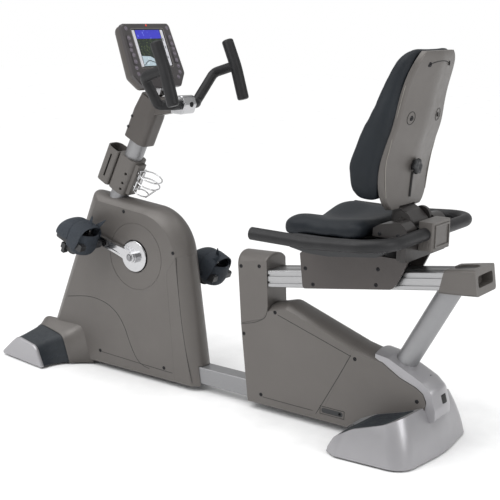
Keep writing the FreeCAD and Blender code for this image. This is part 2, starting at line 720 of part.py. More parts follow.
def bottle_cage():
    """Wire cage: two hoops, a small bottom loop and the uprights that join them."""
    parts = [torus_on_mast(688, CAGE_OUT, CAGE_RADIUS, CAGE_WIRE), torus_on_mast(664, CAGE_OUT, CAGE_RADIUS, CAGE_WIRE),
             torus_on_mast(622, CAGE_OUT - 14, 24, CAGE_WIRE)]
    for y in (-12, 12):
        reach = math.sqrt(CAGE_RADIUS ** 2 - y ** 2)
        parts.append(rod(on_mast(617, CAGE_OUT - reach, y), on_mast(693, CAGE_OUT - reach, y), 2.8))
        parts.append(rod(on_mast(630, 48.4, y), on_mast(630, CAGE_OUT - reach + 1, y), 1.8))
        parts.append(rod(on_mast(680, 48.4, y), on_mast(680, CAGE_OUT - reach + 1, y), 1.8))
    parts.append(rod(on_mast(618, CAGE_OUT + 8), on_mast(668, CAGE_OUT + CAGE_RADIUS + 2), 2.6))
    return parts[0].fuse(parts[1:])


def mast_head_cover():
    """Moulded head: a sleeve round the mast that grows into the handlebar arm."""
    sleeve = mast_piece([(-44, -38, 20), (-44, 38, 20), (44, 38, 24), (44, -38, 24)], 774, 870)
    upper = loft([wire([(-44, -38, 20), (-44, 38, 20), (44, 38, 24), (44, -38, 24)],
                       lambda u, v: V(*on_mast(870, u, v))),
                  wire([(-40, -30, 16), (-40, 30, 16), (40, 30, 20), (40, -30, 20)],
                       lambda u, v: V(*on_mast(925, u, v)))])
    arm_side = [(0, 846, 14), (132, 874), (132, 925), (36, 916, 30)]
    arm = filleted(slab_y(arm_side, -27, 27), 6, lambda e: abs(abs(e.CenterOfMass.y) - 27) < 0.1)
    head = joined([sleeve, upper, arm])
    bore = rod(on_mast(700, 0), on_mast(MAST_LENGTH + 0.5, 0), MAST_RADIUS + 0.2)
    return head.cut(bore)


def handlebar_clamp():
    """Silver two-bolt clamp at the end of the arm."""
    profile = [(132.3, 874, 4), (BAR_X + 14, 872, 12), (BAR_X + 26, BAR_Z, 14), (BAR_X + 14, 930, 12), (132.3, 926, 4)]
    block = filleted(slab_y(profile, -29, 29), 3, lambda e: abs(abs(e.CenterOfMass.y) - 29) < 0.1)
    block = block.cut(rod_y(BAR_X, BAR_Z, -40, 40, BAR_RADIUS + 0.05))
    for x in (BAR_X - 24, BAR_X + 20):
        block = block.cut(rod_y(x, BAR_Z + 6, -40, -24, 3.2))
    return block


GRIP_TOP, GRIP_FOOT = (196.0, 1094.0), (263.0, 912.0)
GRIP_Y = 172.0


def handlebar_tube():
    """Centre bar that sweeps forward, out and up to the two grips."""
    tube = bent_tube([(222, -GRIP_Y, 1014), (148, -GRIP_Y + 4, 990), (BAR_X - 28, -92, BAR_Z),
                      (BAR_X, -56, BAR_Z), (BAR_X, 0, BAR_Z)], 22, BAR_RADIUS)
    return joined([tube, mirrored(tube)])


def handlebar_grip():
    """Foam grip with rounded ends, bowed slightly to the rear, on one side."""
    grip = bent_tube([(GRIP_TOP[0], -GRIP_Y, GRIP_TOP[1]), (233, -GRIP_Y, 1010), (GRIP_FOOT[0], -GRIP_Y, GRIP_FOOT[1])],
                     300, 18.5)
    ends = filleted(grip, 7, lambda e: isinstance(e.Curve, Part.Circle) and abs(e.Length - 37 * math.pi) < 2)
    stem = bent_tube([(222, -GRIP_Y, 1014), (148, -GRIP_Y + 4, 990), (BAR_X - 28, -92, BAR_Z),
                      (BAR_X, -56, BAR_Z), (BAR_X, 0, BAR_Z)], 22, BAR_RADIUS + 0.2)
    return ends.cut(stem)


# ---- console --------------------------------------------------------------------------------
CONSOLE_TILT = math.radians(21.5)
CONSOLE_FOOT = (80.0, 948.0)       # lower middle of the face


def on_console(v, deep):
    """A point of the console: v up the face from its lower edge, deep behind the face."""
    sin, cos = math.sin(CONSOLE_TILT), math.cos(CONSOLE_TILT)
    return (CONSOLE_FOOT[0] - v * sin - deep * cos, CONSOLE_FOOT[1] + v * cos - deep * sin)


def console_plane(deep):
    def place(u, v):
        x, z = on_console(v, deep)
        return V(x, u, z)
    return place


def console_slab(points, front, rear):
    x0, z0 = on_console(0, front)
    x1, z1 = on_console(0, rear)
    return plate(points, console_plane(front), V(x1 - x0, 0, z1 - z0))


def console_outline(inset):
    half = [(-88 + inset, inset, 14), (-122 + inset, 42, 16), (-112 + inset, 207 - inset, 12)]
    return half + [(-u, v, r) for u, v, r in reversed(half)]


SCREEN = (-74.0, 74.0, 66.0, 188.0)


def console_back():
    """Rear housing and the neck that stands it on the mast head."""
    back = loft([wire(console_outline(2), console_plane(10.3)), wire(console_outline(5), console_plane(32)),
                 wire([(u * 0.8, 20 + v * 0.8, r) for u, v, r in console_outline(12)], console_plane(48))])
    back = back.cut(console_slab(console_outline(6), 10, 30))
    neck = mast_piece([(-30, -26, 10), (-30, 26, 10), (24, 26, 10), (24, -26, 10)], 925.4, 984)
    face_side = console_slab([(-200, -200), (200, -200), (200, 400), (-200, 400)], -200, 30)
    neck = neck.cut(face_side).cut(slab_y([(15, 820), (15, 915), (150, 927.5), (150, 820)], -60, 60))
    return joined([back, neck])


BUTTONS = ((-97.0, 150.0), (-97.0, 96.0), (97.0, 150.0), (97.0, 96.0))


def button_outline(index, grow):
    u, v = BUTTONS[index]
    lean = -1.5 if u < 0 else 1.5
    return [(u - 9 - grow, v - 20 - grow, 4), (u + 9 + grow, v - 20 - grow, 4),
            (u + 9 + grow - lean, v + 20 + grow, 4), (u - 9 - grow - lean, v + 20 + grow, 4)]


def console_bezel():
    face = console_slab(console_outline(0), 0, 10)
    rim = loft([wire(console_outline(0), console_plane(0)), wire(console_outline(3), console_plane(-3))])
    bezel = joined([face, rim])
    low, high, bottom, top = SCREEN
    bezel = bezel.cut(console_slab([(low, bottom, 5), (high, bottom, 5), (high, top, 5), (low, top, 5)], -6, 4))
    for index in range(len(BUTTONS)):
        bezel = bezel.cut(console_slab(button_outline(index, 0.5), -6, 6))
    return bezel


def console_screen():
    low, high, bottom, top = SCREEN
    edge = 0.3
    return console_slab([(low + edge, bottom + edge, 5), (high - edge, bottom + edge, 5),
                         (high - edge, top - edge, 5), (low + edge, top - edge, 5)], -1.0, 3.7)


def console_button(index):
    return console_slab(button_outline(index, 0), -4.6, 3.0)


# ---- column and rear shroud -----------------------------------------------------------------
def rear_section(y, bulge, inset=0.0):
    """Side outline of the rear shroud; bulge raises the crown and pushes the nose forward."""
    rise = 20 * bulge - inset
    nose = 12 * bulge - inset
    points = [(456 - nose, 22), (427 - nose, 263), (502, 288 - inset * 0.5), (524, 316 + rise, 10),
              (590, 334 + rise, 26), (830, 252 + rise, 40), (912 - inset, 235 + rise * 0.9, 8),
              (968 - inset, 205 - inset, 40), (1017 - inset, 188 - inset, 40), (1040 - inset, 174 - inset, 14),
              (1050 - inset, 150, 20), (1042 - inset, 120, 12), (1026, 113, 6), (900, 84, 30), (852, 60, 24),
              (806, 22)]
    return wire(points, on_y(y))


def rear_blank(inset):
    half = SHROUD_HALF - inset
    return loft([rear_section(-half, 0, inset), rear_section(-half * 0.62, 0.7, inset), rear_section(0, 1, inset),
                 rear_section(half * 0.62, 0.7, inset), rear_section(half, 0, inset)])


TAIL_SEAM = [(843, 330), (815, 253), (701, 0)]


def tail_region(grow):
    return slab_y([(x - grow, z) for x, z in TAIL_SEAM] + [(1200, 0), (1200, 330)], -90, 90)


def rear_shroud():
    shell = rear_blank(0).cut(rear_blank(WALL))
    shell = shell.cut(box(300, 1200, -BEAM_HALF - 1.5, BEAM_HALF + 1.5, 0, BEAM_TOP + 1.5))
    shell = shell.cut(box(760, 1200, -SHROUD_HALF + WALL, SHROUD_HALF - WALL, 0, BEAM_TOP + 3))
    shell = shell.cut(strut_clearance)
    under_rail = rail_piece([(-RAIL_HALF - 0.4, -RAIL_HEIGHT - 0.4), (RAIL_HALF + 0.4, -RAIL_HEIGHT - 0.4),
                             (RAIL_HALF + 0.4, 1), (-RAIL_HALF - 0.4, 1)], RAIL_START - 1, 640)
    shell = shell.cut(under_rail)
    column_bore = box(COLUMN_X[0] - 0.5, COLUMN_X[1] + 0.5, -25.5, 25.5, 200, 420)
    return largest(shell.cut(column_bore).cut(cap_blank(-GAP)))


def inlet_space(grow):
    return slab_y([(721 - grow, 47 - grow, 6), (792 + grow, 47 - grow, 6), (792 + grow, 62 + grow, 6),
                   (721 - grow, 62 + grow, 6)], -SHROUD_HALF - 2, -SHROUD_HALF + 12)


def power_inlet():
    """Recessed plate low on the left side, with the round power socket at its rear end."""
    plate_body = inlet_space(0).common(box(600, 900, -SHROUD_HALF + 0.5, -SHROUD_HALF + 12, 0, 100))
    socket = rod_y(782, 54.5, -SHROUD_HALF - 1, -SHROUD_HALF + 9, 4.2)
    pin = rod_y(782, 54.5, -SHROUD_HALF + 2, -SHROUD_HALF + 9.5, 1.2)
    return joined([plate_body.cut(socket), pin])


def cap_section(y, bulge, inset=0.0):
    """Side outline of the cap over the head of the column."""
    rise = 32 * bulge - inset
    nose = 12 * bulge - inset
    points = [(427 - nose, 264), (412 - nose, 453 + rise * 0.9, 10), (516 - inset, 470 + rise * 0.5, 6),
              (524 - inset, 316, 8), (503, 289 + inset * 0.5)]
    return wire(points, on_y(y))


def cap_blank(inset):
    half = SHROUD_HALF - inset
    return loft([cap_section(-half, 0, inset), cap_section(-half * 0.62, 0.7, inset), cap_section(0, 1, inset),
                 cap_section(half * 0.62, 0.7, inset), cap_section(half, 0, inset)])


def column_cap():
    shell = cap_blank(0).cut(cap_blank(WALL))
    rail_bore = [(-RAIL_HALF - 0.4, -RAIL_HEIGHT - 0.4), (RAIL_HALF + 0.4, -RAIL_HEIGHT - 0.4),
                 (RAIL_HALF + 0.4, 0.6), (-RAIL_HALF - 0.4, 0.6)]
    shell = shell.cut(rail_piece(rail_bore, -78.5, 60))
    shell = shell.cut(box(COLUMN_X[0] - 0.5, COLUMN_X[1] + 0.5, -25.5, 25.5, 200, 420))
    seam = slab_y([(380, 200), (560, 200), (560, 303.6), (503, 288.6), (427, 263.6), (380, 247)], -90, 90)
    return shell.cut(seam)


# ---- seat -----------------------------------------------------------------------------------
CARRIAGE = (128.0, 425.0)           # along the rail
LEVER = (812.0, 534.0)
COVER_Y = (58.8, 68.0)


def carriage_frame():
    """Steel channel round the rail, with brackets that carry the seat."""
    low, high = CARRIAGE[0] + 6, CARRIAGE[1] - 6
    outer = [(-58.5, -45), (58.5, -45), (58.5, 11), (-58.5, 11)]
    inner = [(-52.5, -70), (52.5, -70), (52.5, 6), (-52.5, 6)]
    channel = rail_piece(outer, low, high).cut(rail_piece(inner, low - 1, high + 1))
    brackets = []
    for along in (low + 26, high - 40):
        x, z = on_rail(along, 10)
        brackets.append(box(x - 18, x + 18, -50, 50, z - 1, 552.2 if along < 250 else 554.6))
    frame = joined([channel] + brackets)
    for along in (low + 26, high - 40):
        x, z = on_rail(along, 10)
        frame = frame.cut(box(x - 15, x + 15, -47, 47, z + 6, 549))
    return frame


def glide_pads():
    """Eight nylon pads between the channel and the rail: four on top and four at the sides."""
    pads = []
    for start in (CARRIAGE[0] + 12, CARRIAGE[1] - 82):
        for side in (-1, 1):
            low, high = sorted((side * 8, side * 40))
            pads.append(rail_piece([(low, 0.15), (high, 0.15), (high, 5.9), (low, 5.9)], start, start + 64))
            low, high = sorted((side * (RAIL_HALF + 0.15), side * 52.4))
            pads.append(rail_piece([(low, -31), (high, -31), (high, -21), (low, -21)], start, start + 64))
    return Part.makeCompound(pads)


def carriage_covers():
    """Flat moulded side covers of the carriage."""
    corners = [(642, 514, 4), (655, 412, 8), (938, 455, 12), (952, 470, 12), (988, 545, 4), (800, 545), (660, 530)]
    near = slab_y(corners, -COVER_Y[1], -COVER_Y[0])
    near = filleted(near, 2.0, lambda e: abs(e.CenterOfMass.y + COVER_Y[1]) < 0.1)
    near = near.cut(box(600, 1010, -70, -50, 543, 600))
    far = mirrored(near).cut(rod_y(LEVER[0], LEVER[1], 40, 90, 6.05))
    return Part.makeCompound([near, far])


def seat_pan():
    """Black moulded pan under the cushion, rounded at its front edge."""
    profile = [(652, 588, 10), (672, 556, 16), (730, 546, 60), (800, 546, 60), (960, 566, 30), (972, 600, 8),
               (700, 597, 40)]
    pan = slab_y(profile, -172, 172)
    inner = [(668, 584), (684, 564, 12), (730, 556, 60), (800, 556, 60), (948, 574, 20), (954, 600), (950, 606),
             (700, 606)]
    pan = pan.cut(slab_y(inner, -166, 166))
    plan = [(640, -150, 30), (660, -172, 24), (980, -172, 30), (980, 172, 30), (660, 172, 24), (640, 150, 30)]
    return pan.common(slab_z(plan, 500, 700))


def seat_cushion():
    """Simple solid of the padded seat: low front lip, dip in the middle, raised rear."""
    profile = [(636, 606, 10), (640, 588, 8), (700, 600, 40), (894, 603, 8), (897, 641, 12), (840, 635, 60),
               (760, 627, 80), (690, 634, 30), (648, 625, 14)]
    cushion = slab_y(profile, -SEAT_HALF, SEAT_HALF)
    plan = [(632, -130, 60), (660, -SEAT_HALF, 40), (898, -SEAT_HALF + 16, 40), (898, SEAT_HALF - 16, 40),
            (660, SEAT_HALF, 40), (632, 130, 60)]
    return cushion.common(slab_z(plan, 560, 700))


def seat_housing():
    """Moulded shoulders behind the seat that cover the backrest hinge."""
    side = [(903, 608), (903, 630, 6), (922, 642, 16), (984, 654, 24), (1003, 634, 10), (1003, 552, 8), (976, 552),
            (976, 608)]
    cheeks = []
    for low in (-118, 62):
        cheek = slab_y(side, low, low + 56)
        hollow = slab_y([(909, 600), (909, 624), (922, 634), (982, 646), (997, 630), (997, 560), (976, 560), (976, 600)],
                        low + 4, low + 52)
        cheeks.append(cheek.cut(hollow))
    for low in (-62, 50):
        cheeks.append(rod_y(BACK_PIVOT[0], BACK_PIVOT[1], low, low + 12, 27))
    rear = slab_z([(984, -120, 6), (1003, -120, 6), (1003, 120, 6), (984, 120, 6), (984, 56), (971, 50), (971, -50),
                   (984, -56)], 548, 594)
    housing = joined([rear] + cheeks)
    return housing.cut(rod_y(BACK_PIVOT[0], BACK_PIVOT[1], -90, 90, 10.05))


HANDLE_REAR = (1022.0, 617.0)


def seat_back_box():
    """Ribbed box behind the hinge; the bar of the two handles runs through it."""
    outline = [(1003.4, -52, 3), (1047, -52, 6), (1047, 52, 6), (1003.4, 52, 3)]
    block = slab_z(outline, 572, 650)
    inner = slab_z([(1008, -48), (1043, -48, 3), (1043, 48, 3), (1008, 48)], 560, 645)
    block = block.cut(inner)
    for side in (-1, 1):
        for x in (1010, 1020, 1030):
            low, high = sorted((side * 51.5, side * 54))
            block = block.fuse(box(x, x + 4, low, high, 580, 596))
    block = block.cut(rod_y(HANDLE_REAR[0], HANDLE_REAR[1], -60, 60, HANDLE_RADIUS + 0.3))
    frame = box(1046.5, 1050, -42, 42, 580, 642).cut(box(1040, 1060, -37, 37, 585, 637))
    return block.fuse(frame).removeSplitter()


def seat_handles():
    """One bent bar with foam along both arms; its middle runs through the box."""
    arm = bent_tube([(620, -HANDLE_HALF, 602), (800, -HANDLE_HALF, 601), (HANDLE_REAR[0], -HANDLE_HALF, HANDLE_REAR[1]),
                     (HANDLE_REAR[0], 0, HANDLE_REAR[1])], 88, HANDLE_RADIUS)
    return joined([arm, mirrored(arm)])


def seat_lever():
    """Release lever under the right edge of the seat; its latch finger drops into the rail holes."""
    shaft = rod_y(LEVER[0], LEVER[1], 57, 186, 6)
    paddle = filleted(box(740, 822, 178, 198, 528, 540), 4, lambda e: True)
    return joined([shaft, paddle])


def back_post():
    """Neck that carries the backrest on its hinge pin."""
    neck = [(918, 628, 8), (919.5, 668), (919.5, 720), (930.5, 720), (930.5, 682), (958, 668, 12), (990, 640, 18),
            (975, 618, 14), (935, 618, 10)]
    body = slab_y(neck, -44, 44)
    pin = rod_y(BACK_PIVOT[0], BACK_PIVOT[1], -74, 74, 10.0)
    return joined([body, pin])


def back_section(z, half, front, rear, radius):
    """Plan section of the backrest shell: flat inner face, bevelled edges, crowned rear."""
    return wire([(front, -half, 2), (front + 15, -half + 8, radius), (rear, 0, 140),
                 (front + 15, half - 8, radius), (front, half, 2)], on_z(z))


BACK_LEVELS = ((676.0, 90.0, 922.0, 942.0), (710.0, 122.0, 920.0, 946.0), (790.0, 137.0, 922.0, 955.0),
               (900.0, 134.0, 953.0, 985.0), (1010.0, 124.0, 976.0, 1009.0), (1072.0, 106.0, 997.0, 1024.0),
               (1094.0, 84.0, 1002.0, 1024.0))


def back_shell():
    """Hard rear shell of the backrest."""
    outer = loft([back_section(z, half, front, rear, 9) for z, half, front, rear in BACK_LEVELS])
    inner = loft([back_section(z, half - 5, front - 8, rear - 5, 9) for z, half, front, rear in BACK_LEVELS])
    trimmed = inner.common(box(700, 1200, -200, 200, 682, 1087))
    shell = outer.cut(trimmed)
    slot = box(900, 990, -44.4, 44.4, 660, 683)
    return shell.cut(slot)


def back_cushion():
    """Simple solid of the padded backrest."""
    profile = [(862, 700, 14), (850, 726, 20), (848, 800, 40), (872, 870, 80), (960, 1082, 30), (984, 1111, 14),
               (1003, 1107, 5), (993, 1074), (971, 1008), (950, 900), (918, 790), (915, 724), (918, 698, 6)]
    pad = slab_y(profile, -168, 168)
    outline = [(-168, 740, 60), (-128, 690, 30), (128, 690, 30), (168, 740, 60), (172, 900, 300), (132, 1090, 50),
               (60, 1116, 60), (-60, 1116, 60), (-132, 1090, 50), (-172, 900, 300)]
    return pad.common(slab_x(outline, 800, 1100))


SCREWS_NEAR = ((-46.0, 548.0), (159.0, 440.0), (-158.0, 58.0), (122.0, 55.0), (438.0, 232.0), (550.0, 318.0),
               (505.0, 52.0), (825.0, 231.0), (1024.0, 150.0), (424.0, 440.0), (490.0, 449.0))


def frame_screws():
    """Button-head screws of the covers, set flush into both sides."""
    heads = []
    for x, z in SCREWS_NEAR:
        head = rod_y(x, z, -SHROUD_HALF - 1.4, -SHROUD_HALF - 0.1, 5.2)
        heads.append(head)
        heads.append(mirrored(head))
    return Part.makeCompound(heads)


# ---- build everything -----------------------------------------------------------------------
save("base_frame", base_frame())
save("levelling_feet", levelling_feet())
save("transport_wheels", transport_wheels())
save("drive_frame", drive_frame())
save("bearings", bearings())
save("mast_tube", mast_tube())
save("strut_tube", strut_tube())
save("seat_rail", seat_rail())
save("rail_end_cap", rail_end_cap())

save("front_foot_covers", Part.makeCompound([front_foot_cover(-1), front_foot_cover(1)]))
save("front_end_caps", both_sides(front_end_cap()))
save("rear_foot_cover", rear_foot_cover())
save("rear_foot_inserts", rear_foot_inserts())

front = front_shroud()
front_left, front_right = split_left_right(front.cut(spine_region(GAP)))
save("front_shroud_left", front_left)
save("front_shroud_right", front_right)
save("front_shroud_spine", front.common(spine_region(0)))

save("crank_axle", crank_axle())
save("crank_arm_left", crank_arm(-1))
save("crank_arm_right", crank_arm(1))
save("drive_pulley", drive_pulley())
save("pedal_spindles", pedal_spindles())
for side, label in ((-1, "left"), (1, "right")):
    save("pedal_" + label, pedal_pose(pedal_body(), side))
    save("pedal_strap_" + label, pedal_pose(pedal_strap(), side))
save("flywheel", flywheel())
save("drive_belt", drive_belt())
save("magnet_yoke", magnet_yoke())

save("mast_collar", mast_collar())
save("accessory_box", accessory_box())
save("bottle_cage", bottle_cage())
save("mast_head_cover", mast_head_cover())
save("handlebar_clamp", handlebar_clamp())
save("handlebar_tube", handlebar_tube())
save("handlebar_grips", both_sides(handlebar_grip()))

save("console_back", console_back())
save("console_bezel", console_bezel())
save("console_screen", console_screen())
for number in range(len(BUTTONS)):
    save("console_button_" + str(number + 1), console_button(number))

rear = rear_shroud()
rear_body_left, rear_body_right = split_left_right(rear.cut(tail_region(GAP)))
save("rear_shroud_left", rear_body_left.cut(inlet_space(0.2)))
save("rear_shroud_right", rear_body_right)
tail_left, tail_right = split_left_right(rear.common(tail_region(0)))
save("rear_tail_covers", Part.makeCompound([tail_left.cut(inlet_space(0.2)), tail_right]))
save("power_inlet", power_inlet())
save("column_cap", column_cap())

save("carriage_frame", carriage_frame())
save("glide_pads", glide_pads())
save("carriage_covers", carriage_covers())
save("seat_pan", seat_pan())
save("seat_cushion", seat_cushion())
save("seat_housing", seat_housing())
save("seat_back_box", seat_back_box())
save("seat_handles", seat_handles())
save("seat_lever", seat_lever())
save("back_post", back_post())
save("back_shell", back_shell())
save("back_cushion", back_cushion())
save("frame_screws", frame_screws())
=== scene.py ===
import json
import math

import bmesh
import bpy
from mathutils import Matrix, Vector


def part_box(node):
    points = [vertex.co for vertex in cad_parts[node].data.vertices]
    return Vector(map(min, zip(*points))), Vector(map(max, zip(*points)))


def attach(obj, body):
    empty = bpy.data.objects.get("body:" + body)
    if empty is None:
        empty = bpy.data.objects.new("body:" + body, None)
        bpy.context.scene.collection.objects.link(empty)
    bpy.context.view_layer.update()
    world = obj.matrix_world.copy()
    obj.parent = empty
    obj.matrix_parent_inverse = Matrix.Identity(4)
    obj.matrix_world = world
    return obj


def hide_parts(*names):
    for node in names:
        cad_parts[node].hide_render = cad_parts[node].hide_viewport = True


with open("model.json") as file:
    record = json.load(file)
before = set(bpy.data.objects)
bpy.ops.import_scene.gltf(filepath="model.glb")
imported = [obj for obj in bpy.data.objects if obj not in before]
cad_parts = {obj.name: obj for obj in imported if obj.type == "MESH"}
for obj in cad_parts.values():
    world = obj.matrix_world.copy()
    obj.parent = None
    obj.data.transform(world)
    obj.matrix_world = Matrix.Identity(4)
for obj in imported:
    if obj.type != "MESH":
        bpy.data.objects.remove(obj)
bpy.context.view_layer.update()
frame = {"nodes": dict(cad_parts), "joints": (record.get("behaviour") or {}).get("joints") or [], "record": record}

scene = bpy.context.scene
JOINT = {j["name"]: Vector(j["pos_m"]) for j in frame["joints"] if j.get("pos_m")}
CRANK = JOINT["crank_turn"]
SIDES = ((-1, "left"), (1, "right"))

# Lengths in millimetres and angles in radians that the CAD model uses as well.
CRANK_LENGTH = 175
CRANK_HEIGHT = 407
CRANK_ANGLE = 164            # degrees of the left arm; the right arm is opposite
PEDAL_TILT = math.radians(22)
PEDAL_MIDDLE = 128           # distance of a pedal's middle from the middle plane
LEG_SWEEP = math.radians(8)
CONSOLE_TILT = math.radians(21.5)
CONSOLE_FOOT = (80, 948)     # lower middle of the console's face, x and z
SHROUD_SIDE = 50.0           # half width of the flat sides of both shrouds


def P(x, y, z):
    """A point given in millimetres from the crank axis (x), the middle plane (y) and the floor (z)."""
    return Vector((CRANK.x + x / 1000, y / 1000, z / 1000))


# ---- camera, light and floor ----------------------------------------------------------------
def add_camera():
    azimuth, elevation, roll = (math.radians(v) for v in (35.5, 12.676, 0.922))
    look = Vector((-math.sin(azimuth) * math.cos(elevation), math.cos(azimuth) * math.cos(elevation),
                   -math.sin(elevation)))
    level = Vector((math.cos(azimuth), math.sin(azimuth), 0))
    upright = level.cross(look)
    right = level * math.cos(roll) + upright * math.sin(roll)
    up = upright * math.cos(roll) - level * math.sin(roll)
    data = bpy.data.cameras.new("view")
    data.sensor_width = 36
    data.lens = 77.44
    data.clip_end = 50
    camera = bpy.data.objects.new("view", data)
    turn = Matrix((right, up, -look)).transposed().to_4x4()
    camera.matrix_world = Matrix.Translation(P(2261.5, -2581.4, 1192.8)) @ turn
    scene.collection.objects.link(camera)
    scene.camera = camera


def add_light(name, place, target, size, watts, colour=(1, 1, 1)):
    data = bpy.data.lights.new(name, "AREA")
    data.shape = "RECTANGLE"
    data.size, data.size_y = size
    data.energy = watts
    data.color = colour
    lamp = bpy.data.objects.new(name, data)
    direction = Vector(target) - Vector(place)
    lamp.matrix_world = Matrix.Translation(place) @ direction.to_track_quat("-Z", "Y").to_matrix().to_4x4()
    scene.collection.objects.link(lamp)


def add_stage():
    scene.view_settings.view_transform = "Standard"
    world = bpy.data.worlds.new("studio")
    world.use_nodes = True
    world.node_tree.nodes["Background"].inputs["Color"].default_value = (1.0, 1.0, 1.0, 1)
    seen = world.node_tree.nodes.new("ShaderNodeLightPath")
    level = world.node_tree.nodes.new("ShaderNodeMapRange")
    level.inputs["To Min"].default_value = 0.55
    level.inputs["To Max"].default_value = 1.0
    world.node_tree.links.new(seen.outputs["Is Camera Ray"], level.inputs["Value"])
    world.node_tree.links.new(level.outputs["Result"], world.node_tree.nodes["Background"].inputs["Strength"])
    scene.world = world
    sun = bpy.data.lights.new("sky", "SUN")
    sun.energy = 2.0
    sun.angle = math.radians(70)
    lamp = bpy.data.objects.new("sky", sun)
    lamp.rotation_euler = (math.radians(12), math.radians(-8), 0)
    scene.collection.objects.link(lamp)
    add_light("key", (-1.2, -3.0, 2.6), (0, 0, 0.4), (2.2, 1.6), 45)
    add_light("rear", (3.4, -0.4, 2.0), (0.4, 0, 0.5), (1.2, 1.8), 30)
    bm = bmesh.new()
    bmesh.ops.create_grid(bm, x_segments=1, y_segments=1, size=14)
    mesh = bpy.data.meshes.new("floor")
    bm.to_mesh(mesh)
    floor = bpy.data.objects.new("floor", mesh)
    floor.location.z = -0.0006
    scene.collection.objects.link(floor)
    mesh.materials.append(simple_finish("floor_paper", (0.93, 0.932, 0.935), 0.65, grain=1600, depth=0.00004))


# ---- finishes -------------------------------------------------------------------------------
class Graph:
    """A short way to write a material's nodes."""

    def __init__(self, name):
        self.material = bpy.data.materials.new(name)
        self.material.use_nodes = True
        self.tree = self.material.node_tree
        self.shader = self.tree.nodes["Principled BSDF"]

    def node(self, kind, **settings):
        made = self.tree.nodes.new(kind)
        for key, value in settings.items():
            setattr(made, key, value)
        return made

    def feed(self, socket, value):
        if isinstance(value, bpy.types.NodeSocket):
            self.tree.links.new(value, socket)
        elif isinstance(value, (tuple, list)) and len(value) == 3 and socket.type == "RGBA":
            socket.default_value = (*value, 1)
        else:
            socket.default_value = value

    def place(self, stretch=(1, 1, 1), turn=(0, 0, 0)):
        where = self.node("ShaderNodeTexCoord")
        mapping = self.node("ShaderNodeMapping")
        self.feed(mapping.inputs["Vector"], where.outputs["Object"])
        mapping.inputs["Scale"].default_value = stretch
        mapping.inputs["Rotation"].default_value = turn
        return mapping.outputs["Vector"]

    def noise(self, scale, detail=3.0, rough=0.5, where=None, seed=0.0):
        made = self.node("ShaderNodeTexNoise", noise_dimensions="4D")
        self.feed(made.inputs["Vector"], where or self.place())
        for key, value in (("Scale", scale), ("Detail", detail), ("Roughness", rough), ("W", seed)):
            made.inputs[key].default_value = value
        return made.outputs["Fac"]

    def ramp(self, value, low, high, to_low, to_high):
        made = self.node("ShaderNodeMapRange")
        self.feed(made.inputs["Value"], value)
        for key, number in (("From Min", low), ("From Max", high), ("To Min", to_low), ("To Max", to_high)):
            made.inputs[key].default_value = number
        return made.outputs["Result"]

    def blend(self, factor, first, second):
        made = self.node("ShaderNodeMix", data_type="RGBA")
        self.feed(made.inputs["Factor"], factor)
        self.feed(made.inputs["A"], first)
        self.feed(made.inputs["B"], second)
        return made.outputs["Result"]

    def bump(self, height, depth, under=None):
        made = self.node("ShaderNodeBump")
        made.inputs["Strength"].default_value = 1.0
        made.inputs["Distance"].default_value = depth
        self.feed(made.inputs["Height"], height)
        if under:
            self.feed(made.inputs["Normal"], under)
        return made.outputs["Normal"]

    def set(self, **values):
        for key, value in values.items():
            self.feed(self.shader.inputs[key.replace("_", " ")], value)
        return self.material


def shade(colour, factor):
    return tuple(min(1.0, c * factor) for c in colour)


def simple_finish(name, colour, rough, metal=0.0, grain=1400.0, depth=0.00006, cloud=0.10, coat=0.0,
                  stretch=(1, 1, 1), spread=0.12):
    """Moulded plastic, paint or metal: cloudy colour, fine grain and uneven gloss."""
    g = Graph(name)
    broad = g.noise(7, 3, 0.55, seed=len(name))
    fine = g.noise(grain, 2, 0.6, where=g.place(stretch), seed=1.5)
    tone = g.blend(g.ramp(broad, 0.3, 0.7, 0, 1), shade(colour, 1 - cloud), shade(colour, 1 + cloud))
    speck = g.blend(g.ramp(fine, 0.35, 0.65, 0, 1), shade(colour, 0.86), shade(colour, 1.12))
    g.set(Base_Color=g.blend(0.35, tone, speck), Metallic=metal,
          Roughness=g.ramp(g.noise(38, 4, 0.6, seed=3.0), 0.3, 0.7, rough * (1 - spread),
                           rough * (1 + spread)),
          Normal=g.bump(fine, depth))
    if coat:
        g.set(Coat_Weight=coat, Coat_Roughness=0.15)
    return g.material


def brushed_finish(name, colour, rough, along, depth=0.00005):
    """Drawn or extruded metal, with fine lines along one axis."""
    g = Graph(name)
    stretch = tuple(1.0 if axis == along else 60.0 for axis in "xyz")
    lines = g.noise(26, 5, 0.65, where=g.place(stretch), seed=2.0)
    broad = g.noise(5, 2, 0.5, seed=4.0)
    tone = g.blend(g.ramp(lines, 0.3, 0.7, 0, 1), shade(colour, 0.82), shade(colour, 1.12))
    g.set(Base_Color=g.blend(g.ramp(broad, 0.35, 0.65, 0, 0.5), tone, shade(colour, 0.95)), Metallic=1.0,
          Roughness=g.ramp(lines, 0.3, 0.7, rough * 0.8, rough * 1.25), Normal=g.bump(lines, depth))
    return g.material


